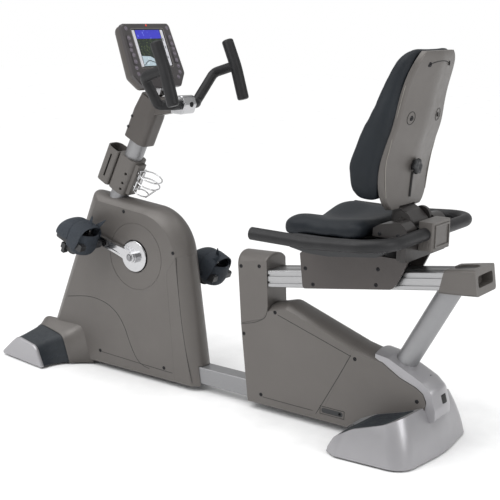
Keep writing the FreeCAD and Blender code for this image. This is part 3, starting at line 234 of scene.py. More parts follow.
def vinyl_finish(name, colour):
    """Upholstery vinyl: pebble grain, slight sheen, and painted shade that darkens the creases between the
    pebbles.
    """
    g = Graph(name)
    cell = g.node("ShaderNodeTexVoronoi", feature="DISTANCE_TO_EDGE")
    g.feed(cell.inputs["Vector"], g.place())
    cell.inputs["Scale"].default_value = 560
    grain = g.ramp(cell.outputs["Distance"], 0.0, 0.28, 0, 1)
    fine = g.noise(1500, 3, 0.6)
    broad = g.noise(9, 4, 0.6, seed=5.0)
    tone = g.blend(g.ramp(broad, 0.3, 0.7, 0, 1), shade(colour, 0.84), shade(colour, 1.14))
    # Painted shade: the colour darkens towards the edges of the grain cells, where the bump is lowest.
    g.set(Base_Color=g.blend(g.ramp(grain, 0, 1, 0.35, 0), tone, shade(colour, 0.5)),
          Roughness=g.ramp(fine, 0.3, 0.7, 0.46, 0.62),
          Normal=g.bump(grain, 0.00016, g.bump(fine, 0.00005)))
    g.set(Specular_IOR_Level=0.28)
    return g.material


def foam_finish(name, colour):
    """Dipped foam of the grips: closed skin with tiny pits and a soft gloss."""
    g = Graph(name)
    pits = g.noise(900, 4, 0.7)
    soft = g.noise(30, 3, 0.5, seed=8.0)
    tone = g.blend(g.ramp(soft, 0.3, 0.7, 0, 1), shade(colour, 0.75), shade(colour, 1.35))
    g.set(Base_Color=g.blend(g.ramp(pits, 0.5, 0.75, 0, 0.6), tone, shade(colour, 2.2)),
          Roughness=g.ramp(pits, 0.3, 0.7, 0.38, 0.55), Specular_IOR_Level=0.35,
          Normal=g.bump(pits, 0.00018, g.bump(soft, 0.0006)))
    return g.material


def tread_finish(name, colour):
    """Rubbery tread: a field of small raised lozenges over dark plastic."""
    g = Graph(name)
    cell = g.node("ShaderNodeTexVoronoi", feature="F1", distance="MANHATTAN")
    g.feed(cell.inputs["Vector"], g.place((1.0, 1.0, 0.15)))
    cell.inputs["Scale"].default_value = 240
    cell.inputs["Randomness"].default_value = 0.15
    knobs = g.ramp(cell.outputs["Distance"], 0.15, 0.55, 1, 0)
    tone = g.blend(knobs, shade(colour, 0.7), shade(colour, 1.25))
    g.set(Base_Color=tone, Roughness=g.ramp(g.noise(60, 3, 0.6), 0.3, 0.7, 0.45, 0.65),
          Normal=g.bump(knobs, 0.0004, g.bump(g.noise(1500, 2), 0.00006)))
    return g.material


def weave_finish(name, colour):
    """Nylon webbing: crossed ribs, with painted shade between them and a painted highlight on their crowns."""
    g = Graph(name)
    heights = []
    for turn in (0, math.pi / 2):
        wave = g.node("ShaderNodeTexWave", wave_type="BANDS", bands_direction="DIAGONAL")
        g.feed(wave.inputs["Vector"], g.place((1, 1, 1), (0, turn, turn)))
        wave.inputs["Scale"].default_value = 330
        wave.inputs["Distortion"].default_value = 0.6
        heights.append(wave.outputs["Fac"])
    mix = g.node("ShaderNodeMath", operation="MAXIMUM")
    g.feed(mix.inputs[0], heights[0])
    g.feed(mix.inputs[1], heights[1])
    # Painted shade and highlight: colour follows rib height, dark in the hollows and light on the crowns.
    tone = g.blend(mix.outputs[0], shade(colour, 0.55), shade(colour, 1.25))
    g.set(Base_Color=g.blend(g.ramp(g.noise(20), 0.3, 0.7, 0, 0.4), tone, shade(colour, 0.8)),
          Roughness=g.ramp(g.noise(200), 0.3, 0.7, 0.6, 0.8), Normal=g.bump(mix.outputs[0], 0.0004))
    return g.material


def glow_finish(name, dark, light, scale, power):
    """A lit print behind glass: patches of two tones with a faint glow."""
    g = Graph(name)
    cell = g.node("ShaderNodeTexVoronoi", feature="F1")
    g.feed(cell.inputs["Vector"], g.place())
    cell.inputs["Scale"].default_value = scale
    spots = g.ramp(cell.outputs["Distance"], 0.18, 0.42, 1, 0)
    patches = g.ramp(g.noise(scale * 0.5, 2, 0.5, seed=6.0), 0.48, 0.60, 0, 1)
    both_marks = g.node("ShaderNodeMath", operation="MULTIPLY")
    g.feed(both_marks.inputs[0], spots)
    g.feed(both_marks.inputs[1], patches)
    tone = g.blend(both_marks.outputs[0], dark, light)
    g.set(Base_Color=tone, Emission_Color=tone, Emission_Strength=power,
          Roughness=g.ramp(g.noise(300), 0.3, 0.7, 0.10, 0.2), Normal=g.bump(g.noise(700), 0.00002))
    return g.material


TAUPE = (0.118, 0.109, 0.102)
SLATE = (0.015, 0.021, 0.028)
SILVER = (0.34, 0.335, 0.348)
BLACK = (0.010, 0.010, 0.011)

MATERIALS = {
    "shroud": simple_finish("shroud_taupe", TAUPE, 0.40, metal=0.25, grain=1900, depth=0.00007, cloud=0.07),
    "cover_dark": simple_finish("slate_plastic", SLATE, 0.42, grain=1500, depth=0.0001, cloud=0.14),
    "cover_silver": simple_finish("silver_plastic", SILVER, 0.34, metal=0.55, grain=2200, depth=0.00004,
                                  cloud=0.05),
    "frame_silver": simple_finish("silver_powder_coat", (0.265, 0.265, 0.272), 0.36, metal=0.6, grain=700,
                                  depth=0.00008, cloud=0.06),
    "steel": brushed_finish("turned_steel", (0.30, 0.30, 0.31), 0.36, "y"),
    "aluminium": brushed_finish("drawn_aluminium", (0.40, 0.40, 0.405), 0.34, "x"),
    "polished": simple_finish("polished_aluminium", (0.50, 0.50, 0.51), 0.2, metal=1.0, grain=500,
                              depth=0.00003,
                              cloud=0.04, spread=0.3),
    "iron": simple_finish("painted_iron", (0.09, 0.09, 0.095), 0.55, metal=0.4, grain=420, depth=0.0003),
    "rubber": simple_finish("black_rubber", BLACK, 0.62, grain=800, depth=0.00012, cloud=0.2),
    "foam": foam_finish("black_foam", (0.009, 0.009, 0.010)),
    "black_plastic": simple_finish("black_plastic", (0.02, 0.021, 0.023), 0.42, grain=1300, depth=0.0001,
                                   cloud=0.2),
    "console_shell": simple_finish("mast_plastic", (0.080, 0.072, 0.067), 0.40, metal=0.25, grain=1900,
                                   depth=0.00007),
    "console_face": simple_finish("console_membrane", (0.050, 0.045, 0.046), 0.36, grain=1700, depth=0.00006,
                                  coat=0.25),
    "screen": simple_finish("display_glass", (0.020, 0.026, 0.024), 0.12, grain=200, depth=0.00001, coat=0.6),
    "button": simple_finish("key_membrane", (0.058, 0.052, 0.057), 0.34, grain=1500, depth=0.00004, coat=0.3),
    "vinyl": vinyl_finish("seat_vinyl", (0.0095, 0.0130, 0.0175)),
    "cage_wire": simple_finish("cage_wire", (0.62, 0.62, 0.63), 0.25, metal=1.0, grain=900, depth=0.00003),
    "strap": weave_finish("strap_webbing", (0.020, 0.027, 0.037)),
    "screw": simple_finish("black_oxide", (0.018, 0.018, 0.02), 0.4, metal=0.7, grain=1800, depth=0.00004),
    "tread": tread_finish("foot_tread", (0.014, 0.020, 0.027)),
    "blue_panel": glow_finish("display_blue", (0.035, 0.035, 0.42), (0.12, 0.14, 0.62), 90, 0.35),
    "map_panel": glow_finish("display_map", (0.012, 0.020, 0.014), (0.13, 0.17, 0.05), 240, 0.25),
    "pale_panel": glow_finish("display_pale", (0.38, 0.47, 0.52), (0.60, 0.68, 0.72), 120, 0.3),
    "white_panel": glow_finish("display_white", (0.52, 0.52, 0.55), (0.66, 0.66, 0.70), 160, 0.3),
    "lamp_red": glow_finish("lamp_red", (0.5, 0.02, 0.01), (0.7, 0.16, 0.02), 400, 0.6),
    "icon": simple_finish("icon_print", (0.22, 0.19, 0.235), 0.4, grain=1500, depth=0.00003, coat=0.2),
    # Painted highlight: a lighter copy of the shroud taupe, used for thin lines along lit edges.
    "edge_highlight": simple_finish("worn_edge", (0.24, 0.225, 0.205), 0.35, metal=0.3, grain=1500,
                                depth=0.00004),
    "housing": simple_finish("dark_taupe", (0.034, 0.031, 0.030), 0.38, metal=0.2, grain=1900, depth=0.00007,
                             cloud=0.08),
    "cover_brown": simple_finish("carriage_taupe", (0.068, 0.060, 0.057), 0.38, metal=0.25, grain=1900,
                                 depth=0.00007, cloud=0.08),
    "mechanism": simple_finish("dark_paint", (0.020, 0.020, 0.021), 0.45, metal=0.3, grain=700, depth=0.0001),
    # Near-black: painted shade in grooves, slots and shut lines, and the dark print of the display's course line
    # and ticks; the saddle port patch uses it too.
    "groove": simple_finish("dark_groove", (0.012, 0.012, 0.012), 0.7, grain=900, depth=0.00002),
}
NODE_FINISH = {"rear_foot_inserts": "tread", "front_foot_covers": "tread", "handlebar_tube": "foam",
               "carriage_covers": "cover_brown", "seat_housing": "housing", "seat_back_box": "shroud",
               "back_shell": "shroud", "rail_end_cap": "shroud", "accessory_box": "shroud",
               "back_post": "housing", "carriage_frame": "mechanism", "seat_pan": "black_plastic",
               "mast_collar": "shroud"}


def dress_nodes():
    """Gives each carried-over node its finish."""
    slots = {s["node"]: s["material_slot"] for s in frame["record"]["subparts"]}
    for name, piece in frame["nodes"].items():
        finish = MATERIALS[NODE_FINISH.get(name, slots[name])]
        if not piece.material_slots:
            piece.data.materials.append(finish)
        for place in piece.material_slots:
            place.link = "OBJECT"
            place.material = finish


# ---- building pieces ------------------------------------------------------------------------
def add_piece(name, mesh, body, finish, smooth=True, bevel=0.0, subdivide=0):
    """A new piece that rides on a body."""
    piece = bpy.data.objects.new(name, mesh)
    scene.collection.objects.link(piece)
    if finish is not None:
        mesh.materials.append(MATERIALS[finish])
    if smooth:
        mesh.shade_smooth()
    if bevel:
        made = piece.modifiers.new("bevel", "BEVEL")
        made.width = bevel
        made.segments = 3
        made.limit_method = "ANGLE"
        made.angle_limit = math.radians(35)
        made.harden_normals = True
    if subdivide:
        made = piece.modifiers.new("subdivide", "SUBSURF")
        made.levels = made.render_levels = subdivide
    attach(piece, body)
    return piece


def mesh_from(name, bm):
    bmesh.ops.recalc_face_normals(bm, faces=bm.faces)
    mesh = bpy.data.meshes.new(name)
    bm.to_mesh(mesh)
    bm.free()
    return mesh


def lathe(bm, profile, centre, axis, segments=40):
    """Adds a turned solid: profile is (radius, distance along axis) from one end to the other."""
    axis = Vector(axis).normalized()
    side = axis.orthogonal().normalized()
    other = axis.cross(side)
    rings = []
    for radius, along in profile:
        if radius <= 0:
            rings.append([bm.verts.new(centre + axis * along)])
            continue
        ring = []
        for k in range(segments):
            angle = 2 * math.pi * k / segments
            ring.append(bm.verts.new(centre + axis * along
                                     + (side * math.cos(angle) + other * math.sin(angle)) * radius))
        rings.append(ring)
    for low, high in zip(rings, rings[1:]):
        for k in range(segments):
            corners = [low[k % len(low)], low[(k + 1) % len(low)],
                       high[(k + 1) % len(high)], high[k % len(high)]]
            unique = list(dict.fromkeys(corners))
            if len(unique) > 2:
                bm.faces.new(unique)


def prism(bm, outline, y0, y1):
    """Adds an (x, z) outline in millimetres, pushed from y0 to y1."""
    near = [bm.verts.new(P(x, y0, z)) for x, z in outline]
    far = [bm.verts.new(P(x, y1, z)) for x, z in outline]
    bm.faces.new(near)
    bm.faces.new(list(reversed(far)))
    for k in range(len(outline)):
        following = (k + 1) % len(outline)
        bm.faces.new([near[k], far[k], far[following], near[following]])


def sweep(name, points, radius, body, finish, closed=False, smooth_line=True):
    """A round wire or tube through the points, turned into a mesh."""
    data = bpy.data.curves.new(name, "CURVE")
    data.dimensions = "3D"
    data.bevel_depth = radius
    data.bevel_resolution = 5
    data.resolution_u = 10
    data.use_fill_caps = True
    spline = data.splines.new("NURBS" if smooth_line else "POLY")
    spline.points.add(len(points) - 1)
    for item, point in zip(spline.points, points):
        item.co = (*point, 1)
    if smooth_line:
        spline.order_u = 3
        spline.use_endpoint_u = not closed
    spline.use_cyclic_u = closed
    carrier = bpy.data.objects.new(name + "_curve", data)
    mesh = bpy.data.meshes.new_from_object(carrier)
    bpy.data.objects.remove(carrier)
    bpy.data.curves.remove(data)
    return add_piece(name, mesh, body, finish)


# ---- screws and seams -----------------------------------------------------------------------
def screw(bm, centre, axis, radius=0.0052, lift=0.0012):
    """A recessed socket screw: dark rim, domed head and hexagonal socket."""
    axis = Vector(axis).normalized()
    lathe(bm, [(radius * 1.12, 0.0), (radius * 1.12, lift * 0.35), (radius, lift * 0.55),
               (radius * 0.86, lift),
               (radius * 0.5, lift * 1.1)], centre, axis, 30)
    lathe(bm, [(radius * 0.5, lift * 1.1), (radius * 0.46, lift * 0.2), (0, lift * 0.1)], centre, axis, 6)


FRAME_SCREWS = ((-46, 548), (159, 440), (-158, 58), (122, 55), (438, 232), (550, 318), (505, 52), (825, 231),
                (1024, 150), (424, 440), (490, 449))


def add_screws():
    bm = bmesh.new()
    for x, z in FRAME_SCREWS:
        for side in (-1, 1):
            screw(bm, P(x, side * SHROUD_SIDE, z), (0, side, 0))
    for x, z in ((-17, 856), (-34, 822)):
        for side in (-1, 1):
            screw(bm, P(x, side * 38.0, z), (0, side, 0), 0.0042)
    screw(bm, P(1040, 0, 213.5), (0.45, 0, 0.9), 0.005)
    heads = add_piece("cover_screws", mesh_from("cover_screws", bm), "frame", "screw")
    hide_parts("frame_screws")
    bm = bmesh.new()
    for x, z in ((663, 473), (690, 430), (896, 506), (892, 461)):
        for side in (-1, 1):
            screw(bm, P(x, side * 68.0, z), (0, side, 0))
    for x in (924, 978):
        for side in (-1, 1):
            screw(bm, P(x, side * 118.0, 617), (0, side, 0), 0.0048)
    add_piece("carriage_screws", mesh_from("carriage_screws", bm), "carriage", "screw")


def add_seams():
    """Shut lines that are pressed into the flat sides of the shrouds, drawn as thin near-black tubes of painted
    shade.
    """
    lines = {
        "crease": [(172, 428), (171, 400), (206, 135), (239, 30)],
        "foot_arc": [(-306, 222), (-240, 236), (-178, 240), (-106, 224), (-53, 178), (-19, 96), (20, 42),
                     (60, 40)],
        "lower_line": [(-150, 55), (60, 47), (158, 45)],
        "cap_line": [(427, 262), (470, 270), (503, 287), (520, 300), (524, 330)],
        "rear_lower_line": [(512, 46), (600, 45), (690, 45)],
        "rear_seam": [(812, 240), (760, 140), (701, 37)],
        "rear_edge_line": [(560, 312), (700, 270), (812, 236)],
    }
    for name, points in lines.items():
        for side, label in SIDES:
            path = [P(x, side * 49.9, z) for x, z in points]
            sweep("seam_" + name + "_" + label, path, 0.0008, "frame", "groove")


# ---- console --------------------------------------------------------------------------------
OUTWARD = Vector((math.cos(CONSOLE_TILT), 0, math.sin(CONSOLE_TILT)))


def on_face(u, v, lift):
    """A point on the console: u across, v up, lift towards the rider, in millimetres."""
    sin, cos = math.sin(CONSOLE_TILT), math.cos(CONSOLE_TILT)
    return P(CONSOLE_FOOT[0] - v * sin + lift * cos, u, CONSOLE_FOOT[1] + v * cos + lift * sin)


def rounded(left, right, bottom, top, radius, steps=5):
    """Corner points of a rectangle with rounded corners."""
    points = []
    corners = ((right - radius, top - radius, 0), (left + radius, top - radius, 90),
               (left + radius, bottom + radius, 180), (right - radius, bottom + radius, 270))
    for cx, cy, start in corners:
        for k in range(steps + 1):
            angle = math.radians(start + 90 * k / steps)
            points.append((cx + radius * math.cos(angle), cy + radius * math.sin(angle)))
    return points


def face_panel(bm, outline, low, high):
    """A thin plate on the console's face, with a bevelled edge."""
    middle = (sum(p[0] for p in outline) / len(outline), sum(p[1] for p in outline) / len(outline))

    def ring(lift, scale):
        return [bm.verts.new(on_face(middle[0] + (u - middle[0]) * scale,
                                     middle[1] + (v - middle[1]) * scale, lift))
                for u, v in outline]

    rings = [ring(low, 1.0), ring((low + high) / 2, 1.0), ring(high, 0.985)]
    for under, over in zip(rings, rings[1:]):
        for k in range(len(outline)):
            after = (k + 1) % len(outline)
            bm.faces.new([under[k], under[after], over[after], over[k]])
    bm.faces.new(list(reversed(rings[0])))
    bm.faces.new(rings[-1])


def add_display():
    panels = (("display_band", "blue_panel", rounded(-57, 57, 158, 186, 2)),
              ("display_map", "map_panel", rounded(-57, 57, 104, 157, 1.5)),
              ("display_course", "pale_panel",
               [(-57, 103), (-57, 71), (52, 71), (40, 84), (4, 90), (-20, 101)]),
              ("display_dark", "map_panel", [(-18, 103), (6, 92), (42, 86), (57, 72), (57, 103)]),
              ("display_strip_left", "white_panel", rounded(-72, -60, 69, 186, 2)),
              ("display_strip_right", "white_panel", rounded(60, 72, 69, 186, 2)))
    for name, finish, outline in panels:
        bm = bmesh.new()
        face_panel(bm, outline, 0.9, 1.5)
        add_piece(name, mesh_from(name, bm), "frame", finish, smooth=False)
    course = [on_face(u, v, 1.6) for u, v in ((-54, 74), (-34, 92), (-6, 80), (22, 84), (46, 74))]
    sweep("display_curve", course, 0.0011, "frame", "groove")
    for number, v in enumerate((92, 124, 150)):
        ticks = [on_face(63 + 2 * (number % 2), v + d, 1.7) for d in (0, 4, 8)]
        sweep("display_tick_%d" % number, ticks, 0.0009, "frame", "groove")
    bm = bmesh.new()
    dome = [(0.0034, -0.001), (0.0034, 0.0004), (0.0024, 0.0014), (0, 0.0018)]
    lathe(bm, dome, on_face(0, 200, 3.0), OUTWARD, 24)
    add_piece("console_lamp", mesh_from("console_lamp", bm), "frame", "lamp_red")


def icon(bm, u, v, lift):
    """A printed key symbol: a raised ring round a dot."""
    spot = on_face(u, v, lift)
    lathe(bm, [(0.0062, -0.0002), (0.0062, 0.0005), (0.0050, 0.0007), (0.0044, 0.0001)], spot, OUTWARD, 26)
    lathe(bm, [(0.0028, -0.0002), (0.0024, 0.0006), (0, 0.0007)], spot, OUTWARD, 18)


def add_icons():
    bm = bmesh.new()
    for side in (-1, 1):
        for u, v in ((96, 191), (99, 123), (99, 66), (98, 46), (84, 30)):
            icon(bm, side * u, v, 3.0)
    for u in (-44, -22, 0, 22, 44):
        icon(bm, u, 46, 3.0)
    add_piece("console_icons", mesh_from("console_icons", bm), "frame", "icon")
    for number, (u, v) in enumerate(((-97, 150), (-97, 96), (97, 150), (97, 96)), 1):
        bm = bmesh.new()
        for dv in (-11, 10):
            icon(bm, u, v + dv, 4.6)
        name = "key_icons_%d" % number
        add_piece(name, mesh_from(name, bm), "key_%d" % number, "icon")
    # The display's surround is a thin ring of painted edge highlight.
    outline = [on_face(u, v, 3.1) for u, v in rounded(-76.5, 76.5, 63.5, 190.5, 6)]
    sweep("display_surround", outline, 0.0007, "frame", "edge_highlight", closed=True)


# ---- pedals ---------------------------------------------------------------------------------
def pedal_point(side, dx, out, dz):
    """A point of a pedal: dx back from its spindle, out from the crank side, dz above the deck's middle."""
    angle = math.radians(CRANK_ANGLE if side < 0 else CRANK_ANGLE - 180)
    sin, cos = math.sin(PEDAL_TILT), math.cos(PEDAL_TILT)
    x = CRANK_LENGTH * math.cos(angle) + dx * cos + dz * sin
    z = CRANK_HEIGHT + CRANK_LENGTH * math.sin(angle) - dx * sin + dz * cos
    return P(x, side * out, z)


def band(name, side, rows, thick, finish, body):
    """A sheet through rows of (dx, out, dz) points, thickened and smoothed."""
    bm = bmesh.new()
    grid = [[bm.verts.new(pedal_point(side, *point)) for point in row] for row in rows]
    for low, high in zip(grid, grid[1:]):
        for k in range(len(low) - 1):
            bm.faces.new([low[k], low[k + 1], high[k + 1], high[k]])
    piece = add_piece(name, mesh_from(name, bm), body, finish)
    made = piece.modifiers.new("thick", "SOLIDIFY")
    made.thickness = thick
    made.offset = 0
    made = piece.modifiers.new("subdivide", "SUBSURF")
    made.levels = made.render_levels = 2
    return piece


def arch_row(dx, half, height, foot):
    """Points of an arch across the pedal."""
    shape = ((-1, foot), (-1.0, 0.25 * height), (-0.93, 0.68 * height), (-0.6, 0.95 * height), (0, height),
             (0.6, 0.95 * height), (0.93, 0.68 * height), (1.0, 0.25 * height), (1, foot))
    return [(dx, PEDAL_MIDDLE + s * half, z) for s, z in shape]


def add_pedal_straps():
    for side, label in SIDES:
        body = "pedal_%s_body" % label
        toe = [arch_row(dx, half, height, -4) for dx, half, height in
               ((-68, 36, 4), (-67, 42, 22), (-60, 47, 42), (-44, 49, 56), (-24, 50, 62), (-8, 50, 61))]
        first = band("toe_cover_" + label, side, toe, 0.0036, "strap", body)
        cross = [[(dx + lean * (1 if z > 0 else 0.2), y, z)
                  for dx, y, z in arch_row(dx, 52, 66 - abs(dx) * 0.10, -18)]
                 for dx, lean in ((-8, 0), (4, 2), (18, 6), (32, 10))]
        band("strap_arch_" + label, side, cross, 0.0030, "strap", body)
        cup = []
        for k in range(11):
            angle = math.radians(-95 + 190 * k / 10)
            cup.append([(14 + bulge * math.cos(angle), PEDAL_MIDDLE + (bulge + 3) * math.sin(angle), dz)
                        for dz, bulge in ((-36, 30), (-30, 40), (-12, 47), (10, 48), (30, 44), (40, 41))])
        band("heel_cup_" + label, side, cup, 0.0034, "strap", body)
        for tip, out, lean in (("a", 96, 1.0), ("b", 122, -0.4)):
            fin = [[(22 + t * 26 * lean + w * (1.1 - t) * 13, out - t * 10, 44 + t * 46) for w in (-1, 0, 1)]
                   for t in (0, 0.35, 0.7, 1.0)]
            band("strap_end_" + tip + "_" + label, side, fin, 0.0028, "strap", body)
        bm = bmesh.new()
        for dx, dz, w, h in ((-26, -34, 9, 10), (-22, -50, 7, 7)):
            corners = []
            for out in (148, 168):
                corners.append([bm.verts.new(pedal_point(side, dx + a * w, out, dz + b * h))
                                for a, b in ((-1, -1), (1, -1), (1, 1), (-1, 1))])
            bm.faces.new(corners[0])
            bm.faces.new(list(reversed(corners[1])))
            for k in range(4):
                n = (k + 1) % 4
                bm.faces.new([corners[0][k], corners[1][k], corners[1][n], corners[0][n]])
        add_piece("strap_buckle_" + label, mesh_from("buckle", bm), body, "black_plastic",
                  bevel=0.0022)
        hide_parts("pedal_strap_" + label)


# ---- backrest, crank and small fittings -------------------------------------------------------
def add_back_details():
    bm = bmesh.new()
    for y, z in ((58, 1060), (77, 922)):
        for side in (-1, 1):
            screw(bm, back_surface(side * y, z), (0.86, side * 0.5, 0), 0.0062, 0.0016)
    add_piece("back_screws", mesh_from("back_screws", bm), "backrest", "screw")
    # Painted shade: near-black tubes stand for the shade in the shell's groove, screw counterbores and slot.
    arch = [back_surface(y, z) for y, z in ((-52, 1061), (-30, 1066), (0, 1068), (30, 1066), (52, 1061))]
    sweep("back_groove_arch", arch, 0.0012, "backrest", "groove")
    for side, label in SIDES:
        ring = []
        for k in range(16):
            angle = 2 * math.pi * k / 16
            ring.append(back_surface(side * 77 + 17 * math.cos(angle), 922 + 17 * math.sin(angle)))
        sweep("back_ring_" + label, ring, 0.0008, "backrest", "groove", closed=True)
        # Painted highlight along the lit side edges of the backrest shell.
        edge = [back_surface(side * half, z)
                for half, z in ((121, 1008), (127, 940), (129, 860), (130, 790), (112, 712))]
        sweep("back_edge_" + label, edge, 0.0011, "backrest", "edge_highlight")
    slot = [back_surface(0, z) for z in (772, 750, 724, 704)]
    sweep("back_slot", slot, 0.0042, "backrest", "groove")
    bm = bmesh.new()
    spot = back_surface(0, 787)
    knob = [(0.012, -0.002), (0.012, 0.004), (0.019, 0.006), (0.021, 0.010), (0.020, 0.016),
            (0.016, 0.019), (0.007, 0.020), (0.006, 0.018), (0, 0.018)]
    lathe(bm, knob, spot, (1, 0, 0.05), 36)
    for vertex in bm.verts:
        offset = vertex.co - spot
        reach = math.hypot(offset.y, offset.z)
        if reach > 0.015:
            wave = 1 + 0.10 * math.cos(6 * math.atan2(offset.z, offset.y))
            vertex.co.y = spot.y + offset.y * wave
            vertex.co.z = spot.z + offset.z * wave
    add_piece("back_knob", mesh_from("back_knob", bm), "backrest", "black_plastic")


def skin(node, start, way):
    """Where a ray from start meets the node's surface, else the nearest point to start, just proud of it."""
    body = frame["nodes"][node]
    hit, place, normal, index = body.ray_cast(start, Vector(way).normalized())
    if not hit:
        hit, place, normal, index = body.closest_point_on_mesh(start)
    return place + normal * 0.0002


def back_surface(y, z):
    """A point on the rear skin of the backrest shell."""
    return skin("back_shell", P(1200, y, z), (-1, 0, 0))


def add_crank_details():
    for side, label in SIDES:
        bm = bmesh.new()
        y = side * 0.0752
        centre = Vector((CRANK.x, y, CRANK.z))
        lathe(bm, [(0.0125, -0.002), (0.0125, 0.0006), (0.0108, 0.0012), (0.0100, 0.0004), (0.0075, 0.0004)],
              centre, (0, side, 0), 40)
        head = [(0.0078, 0.0002), (0.0078, 0.0026), (0.0068, 0.0032), (0, 0.0032)]
        lathe(bm, head, centre, (0, side, 0), 6)
        name = "crank_bolt_" + label
        add_piece(name, mesh_from(name, bm), "crank", "steel", smooth=False)


def foot_outline(grow, stretch, lift, rear_shift, steps=5):
    """Rounded section of the front foot, (u, v) in millimetres from its middle line and the floor."""
    corners = []
    for u, v, cut in ((-130, 5, 4), (-62, 60, 22), (-28, 84, 26), (75, 72, 24), (112, 5, 3)):
        u = u * stretch + (rear_shift if u > 50 else 0)
        v = v * lift if v > 10 else v
        share = max(0.05, min(1.0, (u + 60) / 110))
        outward = grow * share * (1 if u > 0 else -1)
        corners.append((u + outward, v + (grow * share * 0.8 if v > 10 else 0), cut))
    points = [(corners[0][0], corners[0][1])]
    for before, here, after in zip(corners, corners[1:], corners[2:]):
        near, middle, far = (Vector(c[:2]) for c in (before, here, after))
        start = middle + (near - middle).normalized() * here[2]
        end = middle + (far - middle).normalized() * here[2]
        for k in range(steps + 1):
            t = k / steps
            points.append(tuple(start * (1 - t) ** 2 + middle * 2 * t * (1 - t) + end * t ** 2))
    points.append((corners[-1][0], corners[-1][1]))
    return points


def add_skirts():
    """Concave flares that carry the sides of the front shroud out over the foot covers."""
    for side, label in SIDES:
        bm = bmesh.new()
        rows = []
        for k in range(10):
            t = k / 9
            out = 44 + 36 * t
            part = (out - 44) / 66
            outline = foot_outline(1.4 + 34 * (1 - t) ** 2.2, 1.03 - 0.03 * part, 1.48 - 0.30 * part,
                                   40 - 38 * part)
            centre = -400 + (165 - out) * math.tan(LEG_SWEEP)
            rows.append([bm.verts.new(P(centre + u * math.cos(LEG_SWEEP),
                                        side * (out + u * t * math.sin(LEG_SWEEP)), v))
                         for u, v in outline])
        for near, far in zip(rows, rows[1:]):
            for i in range(len(near) - 1):
                bm.faces.new([near[i], near[i + 1], far[i + 1], far[i]])
        name = "front_skirt_" + label
        piece = add_piece(name, mesh_from(name, bm), "frame", "shroud")
        made = piece.modifiers.new("thick", "SOLIDIFY")
        made.thickness = 0.002
        made.offset = 0


def patch(name, node, centre, across, up, way, finish, lift=0.0008):
    """A small dark plate laid on a node's surface: a rounded grid of points dropped onto it."""
    bm = bmesh.new()
    steps = 8
    grid = []
    for i in range(steps + 1):
        row = []
        for j in range(steps + 1):
            a, b = 2 * i / steps - 1, 2 * j / steps - 1
            squeeze = 1 - 0.06 * (a * b) ** 2
            start = centre + Vector(across) * a * squeeze + Vector(up) * b * squeeze
            row.append(bm.verts.new(skin(node, start, way)))
        grid.append(row)
    for low, high in zip(grid, grid[1:]):
        for k in range(steps):
            bm.faces.new([low[k], low[k + 1], high[k + 1], high[k]])
    piece = add_piece(name, mesh_from(name, bm), "frame", finish)
    made = piece.modifiers.new("thick", "SOLIDIFY")
    made.thickness = lift
    made.offset = 0
    return piece


def add_fittings():
    """Clamp bolt, console bracket, saddle port and inlet surround."""
    bm = bmesh.new()
    screw(bm, skin("handlebar_clamp", P(260, 4, 902), (-1, 0, 0)), (1, 0, 0), 0.0075, 0.0014)
    for side in (-1, 1):
        screw(bm, P(166, side * 29.0, 905), (0, side, 0), 0.0050, 0.0012)
    add_piece("clamp_bolts", mesh_from("clamp_bolts", bm), "frame", "screw")
    bm = bmesh.new()
    prism(bm, [(50, 914), (78, 925), (84, 944), (76, 950), (46, 934)], -17, 17)
    add_piece("console_bracket", mesh_from("console_bracket", bm), "frame", "polished",
              bevel=0.0024)
    bm = bmesh.new()
    screw(bm, P(81, 0, 935), (0.95, 0, -0.3), 0.0055, 0.0018)
    add_piece("bracket_bolt", mesh_from("bracket_bolt", bm), "frame", "screw")
    patch("saddle_port", "rear_foot_cover", P(1200, 0, 158), (0, 0.013, 0), (0, 0, 0.012), (-1, 0, 0),
          "groove")
    # Painted shade: a near-black line for the gap round the inlet.
    outline = [P(x, -50.3, z) for x, z in ((716, 43), (797, 43), (797, 66), (716, 66))]
    sweep("inlet_surround", outline, 0.0009, "frame", "groove", closed=True, smooth_line=False)


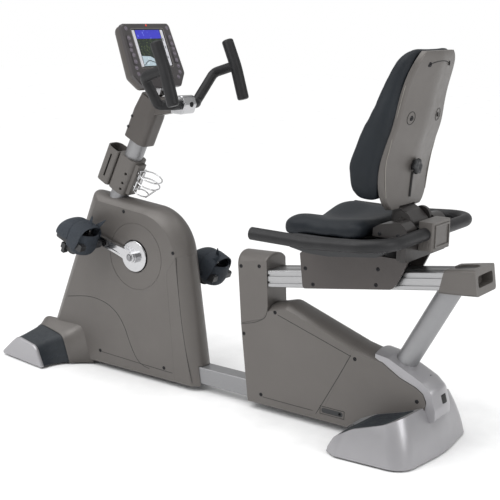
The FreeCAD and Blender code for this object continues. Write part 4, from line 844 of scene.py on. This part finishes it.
# ---- cushions -------------------------------------------------------------------------------
def puffed(name, node, body, shape, pressure, cap, voxel=0.006, shrink=0.985):
    """A cushion: the node's solid is shaped, remeshed, inflated as cloth, and capped."""
    source = frame["nodes"][node]
    mesh = source.data.copy()
    mesh.materials.clear()
    piece = bpy.data.objects.new(name, mesh)
    scene.collection.objects.link(piece)
    low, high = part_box(node)
    middle = (low + high) / 2
    made = piece.modifiers.new("even", "REMESH")
    made.mode = "VOXEL"
    made.voxel_size = voxel
    applied(piece)
    for vertex in piece.data.vertices:
        vertex.co = middle + (shape(vertex.co) - middle) * shrink
    relax(piece, 12)
    mesh = piece.data
    start = [v.co.copy() for v in mesh.vertices]
    cloth = piece.modifiers.new("cloth", "CLOTH")
    settings = cloth.settings
    settings.quality = 5
    settings.mass = 0.3
    settings.use_pressure = True
    settings.uniform_pressure_force = pressure
    settings.effector_weights.gravity = 0
    settings.tension_stiffness = settings.compression_stiffness = 15
    settings.shear_stiffness = 8
    settings.bending_stiffness = 2.0
    cloth.collision_settings.use_collision = False
    for number in range(1, 21):
        scene.frame_set(number)
    mesh = applied(piece).data
    for vertex, origin in zip(mesh.vertices, start):
        move = vertex.co - origin
        if move.length > cap:
            vertex.co = origin + move * (cap / move.length)
    scene.frame_set(1)
    relax(piece, 24)
    mesh = piece.data
    mesh.materials.append(MATERIALS["vinyl"])
    mesh.shade_smooth()
    made = piece.modifiers.new("subdivide", "SUBSURF")
    made.levels = made.render_levels = 1
    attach(piece, body)
    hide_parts(node)
    return piece


def applied(piece):
    """The piece with its modifiers turned into its mesh."""
    graph = bpy.context.evaluated_depsgraph_get()
    mesh = bpy.data.meshes.new_from_object(piece.evaluated_get(graph))
    piece.modifiers.clear()
    old = piece.data
    piece.data = mesh
    bpy.data.meshes.remove(old)
    return piece


def relax(piece, times):
    made = piece.modifiers.new("relax", "SMOOTH")
    made.iterations = times
    made.factor = 0.5
    applied(piece)


def bell(value, centre, width):
    return math.exp(-((value - centre) / width) ** 2)


def seat_shape(co):
    """Dips the front of the seat between the thighs and lifts its side bolsters."""
    x = (co.x - CRANK.x) * 1000
    y, z = co.y * 1000, co.z * 1000
    if z > 612:
        front = max(0.0, min(1.0, (800 - x) / 150))
        dip = 15 * bell(y, 0, 62) * front
        bolster = 7 * (bell(abs(y), 135, 50)) - 5 * bell(y, 0, 90)
        z += bolster - dip
    return Vector((co.x, co.y, z / 1000))


def back_shape(co):
    """Pulls the pad's edges back and raises a lumbar swell."""
    x = (co.x - CRANK.x) * 1000
    y, z = co.y * 1000, co.z * 1000
    x -= 6 * bell(z, 800, 90) * bell(y, 0, 110)
    x += 8 * bell(y, 0, 55) * bell(z, 980, 120)
    return Vector((CRANK.x + x / 1000, co.y, co.z))


# ---- the order of work ----------------------------------------------------------------------
add_camera()
add_stage()
dress_nodes()
add_screws()
add_seams()
add_display()
add_icons()
add_pedal_straps()
add_back_details()
add_crank_details()
add_fittings()
add_skirts()
puffed("seat_pad", "seat_cushion", "carriage", seat_shape, 2.0, 0.006)
puffed("back_pad", "back_cushion", "backrest", back_shape, 2.0, 0.006)
